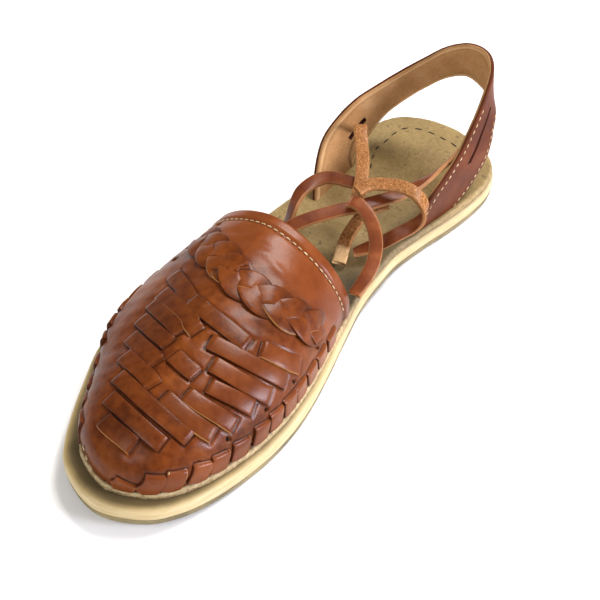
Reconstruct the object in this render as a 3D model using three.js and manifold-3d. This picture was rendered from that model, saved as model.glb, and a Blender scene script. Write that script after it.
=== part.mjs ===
// Huarache sandal, right shoe: a woven leather toe, a heel strap and thong laces on a flat sole.
// Millimetres, +Z up. The toe points to -Y and the wearer's inner side is +X.
// The origin lies on the floor, midway along the sole.

import * as THREE from "three";
import { mergeVertices } from "three/addons/utils/BufferGeometryUtils.js";
import Module from "manifold-3d";

const wasm = await Module();
wasm.setup();

// Driving sizes of the sole
const SOLE_LENGTH = 245;
const BALL_WIDTH = 86;
const HEEL_TIP_X = 0;
const TOE_TIP_X = 4.5;
const OUTSOLE_THICKNESS = 2.6;
const MIDSOLE_THICKNESS = 5.4;
const INSOLE_THICKNESS = 2.6;
const RIM_ROUNDING = 1.6;
const TOE_SPRING = 4;
const ARCH_LIFT = 1.6;
const FLANGE = 6;

// Driving sizes of the upper
const FEATHER_STEP = 0.9;
const VAMP_WALL = 2;
const INSTEP_HEIGHT = 37;
const THROAT_PLACE = 0.482;
const THROAT_LEAN = 0.12;
const EDGE_WIDTH = 4.4;
const EDGE_RELIEF = 0.5;
const STRIP_WIDTH = 6.2;
const STRIP_RELIEF = 0.9;
const STRIP_SINK = 0.8;
const WRAP_WIDTH = 7.8;
const WRAP_RELIEF = 0.9;
const PLAIT_WIDTH = 6.4;
const PLAIT_LENGTH = 12.5;
const PLAIT_RELIEF = 1.5;
const GAP_WIDTH = 2.4;
const GAP_LENGTH = 4;

// Driving sizes of the heel strap
const STRAP_THICKNESS = 2.4;
const STRAP_HEIGHT = 59.5;

// Driving sizes of the thong that laces the sandal
const THONG_WIDTH = 5.5;
const THONG_THICKNESS = 1.8;
const THONG_STEP = 4;

// Space between pieces that touch
const SEAT_GAP = 0.3;

// Resolution of the faceted surfaces
const SIDE_STEPS = 26;
const VAMP_STEPS = 17;
const VAMP_ARC_STEPS = 22;

// Part of a section's turn that each upright wall takes
const WALL_TURN = 1 / 13;

// Sole outline from heel to toe. along is a share of the sole length, inner and outer of the ball width.
// rimInner and rimOuter say how far the insole stays inside the sole on each side, as a share of the flange.
const OUTLINE = [
  { along: 0, inner: 0, outer: 0, rimInner: 0.1, rimOuter: 0.1 },
  { along: 0.02, inner: 0.24, outer: 0.217, rimInner: 0.1, rimOuter: 0.1 },
  { along: 0.05, inner: 0.34, outer: 0.297, rimInner: 0.1, rimOuter: 0.1 },
  { along: 0.09, inner: 0.377, outer: 0.334, rimInner: 0.1, rimOuter: 0.1 },
  { along: 0.14, inner: 0.374, outer: 0.346, rimInner: 0.1, rimOuter: 0.1 },
  { along: 0.2, inner: 0.346, outer: 0.352, rimInner: 0.1, rimOuter: 0.1 },
  { along: 0.26, inner: 0.305, outer: 0.357, rimInner: 0.1, rimOuter: 0.1 },
  { along: 0.32, inner: 0.278, outer: 0.356, rimInner: 0.1, rimOuter: 0.1 },
  { along: 0.38, inner: 0.284, outer: 0.37, rimInner: 0.1, rimOuter: 0.1 },
  { along: 0.44, inner: 0.299, outer: 0.4, rimInner: 0.1, rimOuter: 0.15 },
  { along: 0.5, inner: 0.336, outer: 0.44, rimInner: 0.12, rimOuter: 0.25 },
  { along: 0.57, inner: 0.389, outer: 0.486, rimInner: 0.2, rimOuter: 0.35 },
  { along: 0.64, inner: 0.435, outer: 0.522, rimInner: 0.3, rimOuter: 0.45 },
  { along: 0.7, inner: 0.459, outer: 0.532, rimInner: 0.36, rimOuter: 0.6 },
  { along: 0.76, inner: 0.459, outer: 0.509, rimInner: 0.4, rimOuter: 0.75 },
  { along: 0.82, inner: 0.437, outer: 0.44, rimInner: 0.45, rimOuter: 0.9 },
  { along: 0.88, inner: 0.398, outer: 0.36, rimInner: 0.55, rimOuter: 1 },
  { along: 0.93, inner: 0.34, outer: 0.279, rimInner: 0.7, rimOuter: 1 },
  { along: 0.97, inner: 0.252, outer: 0.182, rimInner: 0.9, rimOuter: 1.05 },
  { along: 1, inner: 0, outer: 0, rimInner: 1.1, rimOuter: 1.1 },
];

// Toe form of the upper. along runs from the toe tip to the throat. height, wallOuter and wallInner are
// shares of the instep height: the ridge and the upright walls at the two feather lines. crest is where
// the ridge stands between the outer and the inner side. fullOuter and fullInner are the fullness of the
// arch over each wall, where 2 is an ellipse.
const TOE_FORM = [
  { along: 0, height: 0, crest: 0.5, wallOuter: 0, wallInner: 0, fullOuter: 2.2, fullInner: 2.2 },
  { along: 0.02, height: 0.25, crest: 0.5, wallOuter: 0.06, wallInner: 0.05, fullOuter: 2.2, fullInner: 2.2 },
  { along: 0.08, height: 0.43, crest: 0.5, wallOuter: 0.12, wallInner: 0.1, fullOuter: 2.1, fullInner: 2.1 },
  { along: 0.2, height: 0.6, crest: 0.5, wallOuter: 0.18, wallInner: 0.12, fullOuter: 1.8, fullInner: 2 },
  { along: 0.4, height: 0.75, crest: 0.5, wallOuter: 0.23, wallInner: 0.14, fullOuter: 1.32, fullInner: 1.9 },
  { along: 0.6, height: 0.87, crest: 0.5, wallOuter: 0.27, wallInner: 0.15, fullOuter: 1.25, fullInner: 1.85 },
  { along: 0.8, height: 0.96, crest: 0.49, wallOuter: 0.32, wallInner: 0.15, fullOuter: 1.4, fullInner: 1.8 },
  { along: 1, height: 1, crest: 0.48, wallOuter: 0.36, wallInner: 0.15, fullOuter: 1.6, fullInner: 1.75 },
];

// Bars of the weave, one row each. A bar runs across the toe from its outer end to its inner end, and bow
// is how far its middle leads toward the toe. The places are shares of the form's length and of its turn.
const BARS = [
  { outerAlong: 0.115, outerTurn: 0.37, innerAlong: 0.088, innerTurn: 0.59, bow: 0.008 },
  { outerAlong: 0.185, outerTurn: 0.34, innerAlong: 0.141, innerTurn: 0.68, bow: 0.016 },
  { outerAlong: 0.259, outerTurn: 0.32, innerAlong: 0.205, innerTurn: 0.735, bow: 0.02 },
  { outerAlong: 0.338, outerTurn: 0.3, innerAlong: 0.269, innerTurn: 0.505, bow: 0.004 },
  { outerAlong: 0.257, outerTurn: 0.545, innerAlong: 0.269, innerTurn: 0.785, bow: 0.012 },
  { outerAlong: 0.412, outerTurn: 0.285, innerAlong: 0.342, innerTurn: 0.45, bow: 0.004 },
  { outerAlong: 0.305, outerTurn: 0.6, innerAlong: 0.341, innerTurn: 0.81, bow: 0.008 },
  { outerAlong: 0.484, outerTurn: 0.28, innerAlong: 0.415, innerTurn: 0.445, bow: 0.004 },
  { outerAlong: 0.389, outerTurn: 0.495, innerAlong: 0.371, innerTurn: 0.6, bow: 0 },
  { outerAlong: 0.372, outerTurn: 0.64, innerAlong: 0.427, innerTurn: 0.81, bow: 0.006 },
  { outerAlong: 0.555, outerTurn: 0.28, innerAlong: 0.462, innerTurn: 0.475, bow: 0.004 },
  { outerAlong: 0.431, outerTurn: 0.61, innerAlong: 0.494, innerTurn: 0.825, bow: 0.008 },
  { outerAlong: 0.602, outerTurn: 0.285, innerAlong: 0.494, innerTurn: 0.535, bow: 0.004 },
  { outerAlong: 0.486, outerTurn: 0.57, innerAlong: 0.573, innerTurn: 0.835, bow: 0.008 },
  { outerAlong: 0.685, outerTurn: 0.28, innerAlong: 0.585, innerTurn: 0.415, bow: 0.002 },
  { outerAlong: 0.59, outerTurn: 0.405, innerAlong: 0.561, innerTurn: 0.67, bow: 0.012 },
  { outerAlong: 0.577, outerTurn: 0.695, innerAlong: 0.653, innerTurn: 0.845, bow: 0.004 },
];

// Wraps that bind the weave to the sole. foot is the place on the feather line and top is the upper end.
// rise is the part of the turn that a wrap takes.
const WRAPS = [
  { foot: 0.004, top: 0.02, rise: 0.2 },
  { foot: 0.035, top: 0.075, rise: 0.2 },
  { foot: 0.09, top: 0.124, rise: 0.17 },
  { foot: 0.165, top: 0.2, rise: 0.14 },
  { foot: 0.235, top: 0.26, rise: 0.13 },
  { foot: 0.315, top: 0.338, rise: 0.125 },
  { foot: 0.4, top: 0.425, rise: 0.12 },
  { foot: 0.475, top: 0.492, rise: 0.12 },
  { foot: 0.552, top: 0.562, rise: 0.115 },
  { foot: 0.622, top: 0.624, rise: 0.11 },
  { foot: 0.7, top: 0.698, rise: 0.105 },
  { foot: 0.775, top: 0.773, rise: 0.1 },
  { foot: 0.85, top: 0.855, rise: 0.1 },
];

// The outer side has no wraps at the toe cap, so its first wrap is this row of the table.
const OUTER_WRAP_START = 2;

// Centre line of the flat braid over the instep. along is the turn, and place the share of the form's length.
const BRAID = [
  { along: 0.27, place: 0.85 },
  { along: 0.38, place: 0.785 },
  { along: 0.54, place: 0.725 },
  { along: 0.62, place: 0.72 },
  { along: 0.72, place: 0.746 },
  { along: 0.84, place: 0.8 },
];

// A plait starts lead of its length beyond the braid's middle and crosses by cross of its length. reach
// is the part of its length that it takes over the instep.
const PLAIT_COUNT = 16;
const PLAIT_LEAD = 0.28;
const PLAIT_CROSS = 0.75;
const PLAIT_REACH = 0.8;

// Gaps between strips that go through the wall.
const GAPS = [
  { along: 0.85, turn: 0.28 },
  { along: 0.79, turn: 0.255 },
  { along: 0.73, turn: 0.265 },
  { along: 0.665, turn: 0.255 },
  { along: 0.3, turn: 0.835 },
  { along: 0.46, turn: 0.85 },
  { along: 0.6, turn: 0.865 },
  { along: 0.155, turn: 0.76 },
];

// Heel strap from its inner foot round the heel to its outer foot. front is the edge toward the toe and
// the top, rear the edge toward the heel and the floor. X is a share of the ball width, Y of the sole
// length from the heel tip, Z of the strap's height over the insole's underside.
const STRAP = [
  { frontX: 0.248, frontY: 0.282, frontZ: 0, rearX: 0.312, rearY: 0.176, rearZ: 0 },
  { frontX: 0.267, frontY: 0.278, frontZ: 0.11, rearX: 0.326, rearY: 0.159, rearZ: 0.07 },
  { frontX: 0.291, frontY: 0.267, frontZ: 0.225, rearX: 0.335, rearY: 0.133, rearZ: 0.116 },
  { frontX: 0.308, frontY: 0.249, frontZ: 0.343, rearX: 0.34, rearY: 0.106, rearZ: 0.183 },
  { frontX: 0.314, frontY: 0.216, frontZ: 0.402, rearX: 0.343, rearY: 0.086, rearZ: 0.259 },
  { frontX: 0.314, frontY: 0.173, frontZ: 0.477, rearX: 0.343, rearY: 0.076, rearZ: 0.376 },
  { frontX: 0.314, frontY: 0.145, frontZ: 0.578, rearX: 0.337, rearY: 0.071, rearZ: 0.444 },
  { frontX: 0.312, frontY: 0.116, frontZ: 0.687, rearX: 0.328, rearY: 0.063, rearZ: 0.511 },
  { frontX: 0.3, frontY: 0.084, frontZ: 0.797, rearX: 0.302, rearY: 0.051, rearZ: 0.561 },
  { frontX: 0.273, frontY: 0.053, frontZ: 0.889, rearX: 0.262, rearY: 0.041, rearZ: 0.603 },
  { frontX: 0.215, frontY: 0.035, frontZ: 0.948, rearX: 0.203, rearY: 0.035, rearZ: 0.645 },
  { frontX: 0.116, frontY: 0.033, frontZ: 0.948, rearX: 0.116, rearY: 0.033, rearZ: 0.671 },
  { frontX: 0.012, frontY: 0.045, frontZ: 0.881, rearX: 0.012, rearY: 0.037, rearZ: 0.595 },
  { frontX: -0.081, frontY: 0.061, frontZ: 0.763, rearX: -0.081, rearY: 0.045, rearZ: 0.477 },
  { frontX: -0.163, frontY: 0.084, frontZ: 0.662, rearX: -0.163, rearY: 0.059, rearZ: 0.36 },
  { frontX: -0.233, frontY: 0.124, frontZ: 0.587, rearX: -0.227, rearY: 0.088, rearZ: 0.259 },
  { frontX: -0.273, frontY: 0.165, frontZ: 0.553, rearX: -0.244, rearY: 0.124, rearZ: 0.192 },
  { frontX: -0.302, frontY: 0.206, frontZ: 0.477, rearX: -0.25, rearY: 0.157, rearZ: 0.116 },
  { frontX: -0.308, frontY: 0.245, frontZ: 0.385, rearX: -0.247, rearY: 0.178, rearZ: 0.07 },
  { frontX: -0.279, frontY: 0.28, frontZ: 0.225, rearX: -0.243, rearY: 0.184, rearZ: 0.034 },
  { frontX: -0.238, frontY: 0.306, frontZ: 0, rearX: -0.238, rearY: 0.188, rearZ: 0 },
];

// Slits of the heel strap, as rows of the strap table and a share of its width from front to rear.
const SLITS = [
  { start: 4.3, end: 7.6, share: 0.48 },
  { start: 16.1, end: 17.2, share: 0.55 },
];

// Slits let the thong through the strap flat, with a clearance on both faces.
const SLIT_WIDTH = THONG_THICKNESS + 2 * SEAT_GAP;

// Routes of the thong. x, y and z are the middle of the thong, heading is the direction of its width in
// the ground plane and tilt how far that direction rises, both in degrees.
const ACROSS_ROUTE = [
  { x: -12, y: 6, z: 28, heading: -31, tilt: -15 },
  { x: -6.2, y: 16.4, z: 32, heading: -31, tilt: -20 },
  { x: 2.6, y: 29.1, z: 33.4, heading: -33, tilt: -20 },
  { x: 7.4, y: 34.7, z: 33.6, heading: -36, tilt: -18 },
  { x: 12.6, y: 42.5, z: 33.4, heading: -34, tilt: -16 },
  { x: 17.5, y: 51.6, z: 33, heading: -28, tilt: -8 },
  { x: 21, y: 63, z: 32.5, heading: -23, tilt: 20 },
  { x: 23, y: 74, z: 32.5, heading: -20, tilt: 60 },
];
const BACK_ROUTE = [
  { x: -14, y: 71.4, z: 39, heading: 32, tilt: 0 },
  { x: -9, y: 64.8, z: 37.8, heading: 31, tilt: 0 },
  { x: -3.3, y: 57.3, z: 37, heading: 32, tilt: 0 },
  { x: 1.9, y: 48.9, z: 36.2, heading: 30, tilt: 0 },
  { x: 5.7, y: 41, z: 34.9, heading: 25, tilt: -5 },
  { x: 7.8, y: 36.4, z: 33.9, heading: 20, tilt: -8 },
];
const LOOP_ROUTE = [
  { x: 6.4, y: 38.8, z: 38.8, heading: -50, tilt: 0 },
  { x: 9.2, y: 44.4, z: 39.6, heading: -58, tilt: -12 },
  { x: 14.5, y: 47.6, z: 40, heading: -68, tilt: -18 },
  { x: 20.4, y: 49.6, z: 40.4, heading: -80, tilt: -20 },
  { x: 27, y: 49.6, z: 40, heading: -82, tilt: -12 },
  { x: 31.6, y: 48.2, z: 37.4, heading: -75, tilt: -2 },
  { x: 32.6, y: 45.8, z: 33, heading: -55, tilt: -10 },
  { x: 29.6, y: 43.2, z: 28.6, heading: -35, tilt: -25 },
  { x: 25.3, y: 39.6, z: 25, heading: -24, tilt: -34 },
  { x: 21.2, y: 35.8, z: 21.5, heading: -20, tilt: -38 },
  { x: 16.7, y: 32.6, z: 18.4, heading: -38, tilt: -12 },
  { x: 12.4, y: 28.6, z: 16.4, heading: -60, tilt: 15 },
];
const INNER_ROUTE = [
  { x: 6, y: 34.6, z: 36.4, heading: -80, tilt: -8 },
  { x: 9.6, y: 34.8, z: 36.6, heading: -92, tilt: -14 },
  { x: 14.4, y: 33.6, z: 35.4, heading: -112, tilt: -15 },
  { x: 19.6, y: 30.8, z: 32.8, heading: -130, tilt: -10 },
  { x: 24, y: 26.2, z: 29.4, heading: -145, tilt: 0 },
  { x: 26.6, y: 20.6, z: 26.2, heading: -158, tilt: 8 },
  { x: 27.8, y: 13.4, z: 23.6, heading: -168, tilt: 5 },
  { x: 27.9, y: 5.8, z: 21, heading: -172, tilt: -15 },
];
const OUTER_ROUTE = [
  { x: -11.6, y: 11, z: 23, heading: 175, tilt: -50 },
  { x: -12.6, y: 19.4, z: 28, heading: 172, tilt: -45 },
  { x: -14.6, y: 26, z: 30.4, heading: 168, tilt: -30 },
  { x: -15.6, y: 32.6, z: 32, heading: 158, tilt: 0 },
  { x: -13.8, y: 39.6, z: 33, heading: 135, tilt: 18 },
  { x: -9.6, y: 44.4, z: 33.4, heading: 112, tilt: 20 },
  { x: 0.4, y: 47.2, z: 33.4, heading: 92, tilt: 10 },
];
const CUT_END_ROUTE = [
  { x: 15.2, y: 47, z: 30.8, heading: -32, tilt: -16 },
  { x: 11.8, y: 40.4, z: 30.7, heading: -34, tilt: -18 },
  { x: 10.4, y: 36.2, z: 29, heading: -30, tilt: -14 },
  { x: 8.9, y: 32.6, z: 25, heading: -22, tilt: -8 },
  { x: 7.8, y: 30.4, z: 21, heading: -10, tilt: -10 },
  { x: 7.9, y: 27.6, z: 17.4, heading: 5, tilt: -12 },
  { x: 8.9, y: 24.6, z: 15.8, heading: 15, tilt: -8 },
  { x: 10.2, y: 21.2, z: 15.2, heading: 20, tilt: -6 },
];

const INSOLE_BASE = OUTSOLE_THICKNESS + MIDSOLE_THICKNESS + 2 * SEAT_GAP;
const UPPER_BASE = INSOLE_BASE + INSOLE_THICKNESS + SEAT_GAP;

const leather = (color, roughness) => new THREE.MeshStandardMaterial({ color, roughness, metalness: 0 });
const MATERIALS = {
  outsole: leather("#6f6240", 0.85),
  midsole: leather("#d9c79a", 0.7),
  insole: leather("#a58a58", 0.75),
  vamp: leather("#8f4b26", 0.42),
  strap: leather("#9a5b3a", 0.55),
  thong: leather("#b07a50", 0.7),
};

const sandal = new THREE.Group();

// Gives the value of one column at a place, by a smooth curve through the rows of a table.
function tableValue(rows, place, column) {
  const last = rows.length - 1;
  if (place <= rows[0].along) {
    return rows[0][column];
  }
  if (place >= rows[last].along) {
    return rows[last][column];
  }
  let index = 0;
  while (rows[index + 1].along < place) {
    index += 1;
  }
  const low = rows[index];
  const high = rows[index + 1];
  const before = rows[Math.max(0, index - 1)];
  const after = rows[Math.min(last, index + 2)];
  const span = high.along - low.along;
  const share = (place - low.along) / span;
  const slopeLow = ((high[column] - before[column]) / (high.along - before.along)) * span;
  const slopeHigh = ((after[column] - low[column]) / (after.along - low.along)) * span;
  const square = share * share;
  const cube = square * share;
  return (
    (2 * cube - 3 * square + 1) * low[column] +
    (cube - 2 * square + share) * slopeLow +
    (3 * square - 2 * cube) * high[column] +
    (cube - square) * slopeHigh
  );
}

// The sole outline as one closed curve: heel tip, inner side, toe tip, outer side.
function makeOutlineCurve() {
  const placeY = (along) => SOLE_LENGTH / 2 - along * SOLE_LENGTH;
  const sideRows = OUTLINE.slice(1, -1);
  const points = [new THREE.Vector3(HEEL_TIP_X, placeY(0), 0)];
  for (const row of sideRows) {
    points.push(new THREE.Vector3(row.inner * BALL_WIDTH, placeY(row.along), 0));
  }
  points.push(new THREE.Vector3(TOE_TIP_X, placeY(1), 0));
  for (const row of sideRows.reverse()) {
    points.push(new THREE.Vector3(-row.outer * BALL_WIDTH, placeY(row.along), 0));
  }
  const curve = new THREE.CatmullRomCurve3(points, true, "centripetal");
  curve.arcLengthDivisions = 800;
  return curve;
}

const outlineCurve = makeOutlineCurve();

// Share of the outline's whole length at which the toe tip lies.
function findToeShare() {
  let best = 0.5;
  for (let step = 0; step <= 400; step += 1) {
    const share = 0.4 + (0.2 * step) / 400;
    if (outlineCurve.getPointAt(share).y < outlineCurve.getPointAt(best).y) {
      best = share;
    }
  }
  return best;
}

const toeShare = findToeShare();

// A point of the outline moved inward. way runs from 0 at the heel tip to 1 at the toe tip on one side.
// inset is an even distance, and flange is how much of the insole's own margin is added to it.
function outlinePoint(side, way, inset, flange = 0) {
  const share = side === "inner" ? way * toeShare : 1 - way * (1 - toeShare);
  const point = outlineCurve.getPointAt(share % 1);
  const tangent = outlineCurve.getTangentAt(share % 1);
  const along = (SOLE_LENGTH / 2 - point.y) / SOLE_LENGTH;
  const column = side === "inner" ? "rimInner" : "rimOuter";
  const shift = inset + flange * FLANGE * tableValue(OUTLINE, along, column);
  return new THREE.Vector2(point.x + tangent.y * shift, point.y - tangent.x * shift);
}

const edgeCache = new Map();

// One side of the insole's outline, moved inward, as many short steps from heel to toe.
function edgePoints(side, inset) {
  const key = side + inset.toFixed(4);
  if (!edgeCache.has(key)) {
    const points = [];
    const steps = 160;
    for (let step = 0; step <= steps; step += 1) {
      points.push(outlinePoint(side, step / steps, inset, 1));
    }
    edgeCache.set(key, points);
  }
  return edgeCache.get(key);
}

// The x of one side of the inset outline at a given y.
function edgeX(side, y, inset) {
  const points = edgePoints(side, inset);
  let index = 0;
  while (index < points.length - 2 && points[index + 1].y > y) {
    index += 1;
  }
  const high = points[index];
  const low = points[index + 1];
  const share = THREE.MathUtils.clamp((high.y - y) / (high.y - low.y || 1), 0, 1);
  return high.x + (low.x - high.x) * share;
}

// Height of the sole's underside over the floor: flat at heel and ball, lifted at the arch and the toe.
const ARCH_START = 0.27;
const ARCH_END = 0.52;
const TOE_START = 0.76;
function groundLift(y) {
  const along = (SOLE_LENGTH / 2 - y) / SOLE_LENGTH;
  if (along > ARCH_START && along < ARCH_END) {
    const wave = Math.sin((Math.PI * (along - ARCH_START)) / (ARCH_END - ARCH_START));
    return ARCH_LIFT * wave * wave;
  }
  if (along > TOE_START) {
    const share = (along - TOE_START) / (1 - TOE_START);
    return TOE_SPRING * share * share;
  }
  return 0;
}

// A list of corner points and faces that becomes one closed mesh.
class Shell {
  constructor() {
    this.points = [];
    this.faces = [];
  }

  add(point) {
    this.points.push(point);
    return this.points.length - 1;
  }

  quad(a, b, c, d) {
    this.faces.push([a, b, c], [a, c, d]);
  }

  geometry() {
    const flat = this.points.flatMap((point) => [point.x, point.y, point.z]);
    const kept = this.faces.filter(([a, b, c]) => a !== b && b !== c && a !== c);
    const made = new THREE.BufferGeometry();
    made.setAttribute("position", new THREE.Float32BufferAttribute(flat, 3));
    made.setIndex(kept.flat());
    return mergeVertices(made, 1e-4);
  }
}

function solidFrom(geometry) {
  const bare = geometry.clone();
  bare.deleteAttribute("normal");
  bare.deleteAttribute("uv");
  const merged = mergeVertices(bare, 1e-4);
  const index = merged.index.array;
  const faces = [];
  for (let at = 0; at < index.length; at += 3) {
    const [a, b, c] = [index[at], index[at + 1], index[at + 2]];
    if (a !== b && b !== c && a !== c) {
      faces.push(a, b, c);
    }
  }
  const mesh = new wasm.Mesh({
    numProp: 3,
    vertProperties: new Float32Array(merged.attributes.position.array),
    triVerts: new Uint32Array(faces),
  });
  return new wasm.Manifold(mesh);
}

function geometryFrom(solid) {
  const mesh = solid.getMesh();
  const made = new THREE.BufferGeometry();
  made.setAttribute("position", new THREE.BufferAttribute(mesh.vertProperties, 3));
  made.setIndex(new THREE.BufferAttribute(mesh.triVerts, 1));
  return made;
}

function addPiece(name, geometry, material) {
  const mesh = new THREE.Mesh(geometry, material);
  mesh.name = name;
  sandal.add(mesh);
}

// A slab of the sole: rings from the bottom to the top, each with its inset from the outline and its height.
function makeSlab(rings, flange) {
  const shell = new Shell();
  const ringPoints = rings.map(({ inset, height }) => {
    const sides = {};
    for (const side of ["inner", "outer"]) {
      sides[side] = [];
      for (let step = 0; step <= SIDE_STEPS; step += 1) {
        const even = step / SIDE_STEPS;
        const way = 0.45 * even + 0.55 * (0.5 - 0.5 * Math.cos(Math.PI * even));
        const flat = outlinePoint(side, way, inset, flange);
        sides[side].push(shell.add(new THREE.Vector3(flat.x, flat.y, groundLift(flat.y) + height)));
      }
    }
    sides.outer[0] = sides.inner[0];
    sides.outer[SIDE_STEPS] = sides.inner[SIDE_STEPS];
    return sides;
  });
  for (let step = 0; step < SIDE_STEPS; step += 1) {
    for (let ring = 0; ring < rings.length - 1; ring += 1) {
      const low = ringPoints[ring];
      const high = ringPoints[ring + 1];
      shell.quad(low.inner[step + 1], low.inner[step], high.inner[step], high.inner[step + 1]);
      shell.quad(low.outer[step], low.outer[step + 1], high.outer[step + 1], high.outer[step]);
    }
    const bottom = ringPoints[0];
    const top = ringPoints[rings.length - 1];
    shell.quad(bottom.inner[step], bottom.inner[step + 1], bottom.outer[step + 1], bottom.outer[step]);
    shell.quad(top.inner[step + 1], top.inner[step], top.outer[step], top.outer[step + 1]);
  }
  return shell.geometry();
}

addPiece(
  "outsole",
  makeSlab(
    [
      { inset: 0.8, height: 0 },
      { inset: 0.3, height: 0.5 },
      { inset: 0.3, height: OUTSOLE_THICKNESS },
    ],
    0,
  ),
  MATERIALS.outsole,
);

const midsoleBase = OUTSOLE_THICKNESS + SEAT_GAP;
addPiece(
  "midsole",
  makeSlab(
    [
      { inset: 0.2, height: midsoleBase },
      { inset: 0, height: midsoleBase + 0.6 },
      { inset: 0, height: midsoleBase + MIDSOLE_THICKNESS - RIM_ROUNDING },
      { inset: 0.3 * RIM_ROUNDING, height: midsoleBase + MIDSOLE_THICKNESS - 0.3 * RIM_ROUNDING },
      { inset: RIM_ROUNDING, height: midsoleBase + MIDSOLE_THICKNESS },
    ],
    0,
  ),
  MATERIALS.midsole,
);

// The toe form. A section stands at each y, between the two sides of the inset outline.
const throatY = SOLE_LENGTH / 2 - THROAT_PLACE * SOLE_LENGTH;

function toeTipY(depth) {
  return edgePoints("inner", FEATHER_STEP + depth).at(-1).y;
}

function toeSection(y, depth) {
  const tip = toeTipY(depth);
  const along = THREE.MathUtils.clamp((y - tip) / (throatY - tip), 0, 1.2);
  const root = Math.sqrt(along);
  const rows = TOE_FORM.map((row) => ({ ...row, along: Math.sqrt(row.along) }));
  const outer = edgeX("outer", y, FEATHER_STEP + depth);
  const inner = edgeX("inner", y, FEATHER_STEP + depth);
  return {
    outer,
    inner,
    ridge: outer + (inner - outer) * tableValue(rows, root, "crest"),
    height: (INSTEP_HEIGHT - depth) * tableValue(rows, root, "height"),
    wallOuter: (INSTEP_HEIGHT - depth) * tableValue(rows, root, "wallOuter"),
    wallInner: (INSTEP_HEIGHT - depth) * tableValue(rows, root, "wallInner"),
    fullOuter: tableValue(rows, root, "fullOuter"),
    fullInner: tableValue(rows, root, "fullInner"),
  };
}

// A point of the form at y. turn runs from 0 at the outer feather line over the ridge to 1 at the inner one.
function formPoint(y, turn, depth) {
  const section = toeSection(y, depth);
  const isOuter = turn < 0.5;
  const wall = isOuter ? section.wallOuter : section.wallInner;
  const edge = isOuter ? section.outer : section.inner;
  const power = isOuter ? section.fullOuter : section.fullInner;
  const rise = isOuter ? turn : 1 - turn;
  if (rise < WALL_TURN) {
    return new THREE.Vector3(edge, y, (wall * rise) / WALL_TURN);
  }
  const angle = ((rise - WALL_TURN) / (0.5 - WALL_TURN)) * (Math.PI / 2);
  const reach = Math.cos(angle) ** (2 / power);
  const lift = Math.sin(angle) ** (2 / power);
  const x = section.ridge + (edge - section.ridge) * reach;
  return new THREE.Vector3(x, y, wall + (section.height - wall) * lift);
}

function seated(point, base) {
  return new THREE.Vector3(point.x, point.y, point.z + base + groundLift(point.y));
}

// The y at which a line of the form along one turn ends, at the leaning throat.
function throatEnd(turn, depth) {
  return throatY - THROAT_LEAN * formPoint(throatY, turn, depth).z;
}

// A point of the form by its share of the length and its turn.
function formAt(along, turn, depth) {
  const tip = toeTipY(depth);
  const place = tip + (throatEnd(turn, depth) - tip) * along;
  return seated(formPoint(place, turn, depth), UPPER_BASE);
}

// Length of the form, and the length over which the turned edge rises from the skin.
const formLength = throatY - toeTipY(0);
const EDGE_RISE = 0.7;

function makeVampShell() {
  const edgeStart = 1 - EDGE_WIDTH / formLength;
  const shares = [];
  for (let step = 0; step < VAMP_STEPS; step += 1) {
    const even = step / VAMP_STEPS;
    shares.push((0.35 * even + 0.65 * (1 - Math.cos((Math.PI / 2) * even))) * edgeStart);
  }
  shares.push(edgeStart, edgeStart + EDGE_RISE / formLength, 1);
  const shell = new Shell();
  const layers = [0, VAMP_WALL].map((depth) => {
    const rows = shares.map((share) => {
      const relief = depth === 0 && share > edgeStart ? EDGE_RELIEF : 0;
      const row = [];
      for (let turn = 0; turn <= VAMP_ARC_STEPS; turn += 1) {
        row.push(shell.add(formAt(share, turn / VAMP_ARC_STEPS, depth - relief)));
      }
      return row;
    });
    rows[0].fill(rows[0][0]);
    return rows;
  });
  const [outside, inside] = layers;
  const last = shares.length - 1;
  const end = VAMP_ARC_STEPS;
  for (let step = 0; step < last; step += 1) {
    for (let turn = 0; turn < end; turn += 1) {
      shell.quad(outside[step][turn], outside[step][turn + 1], outside[step + 1][turn + 1], outside[step + 1][turn]);
      shell.quad(inside[step][turn + 1], inside[step][turn], inside[step + 1][turn], inside[step + 1][turn + 1]);
    }
    shell.quad(outside[step][0], outside[step + 1][0], inside[step + 1][0], inside[step][0]);
    shell.quad(outside[step + 1][end], outside[step][end], inside[step][end], inside[step + 1][end]);
  }
  for (let turn = 0; turn < end; turn += 1) {
    shell.quad(outside[last][turn], outside[last][turn + 1], inside[last][turn + 1], inside[last][turn]);
  }
  return shell.geometry();
}

// Girth of the form at a share of its length.
function formGirth(along) {
  let girth = 0;
  const steps = 12;
  for (let step = 0; step < steps; step += 1) {
    girth += formAt(along, step / steps, 0).distanceTo(formAt(along, (step + 1) / steps, 0));
  }
  return girth;
}

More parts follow.
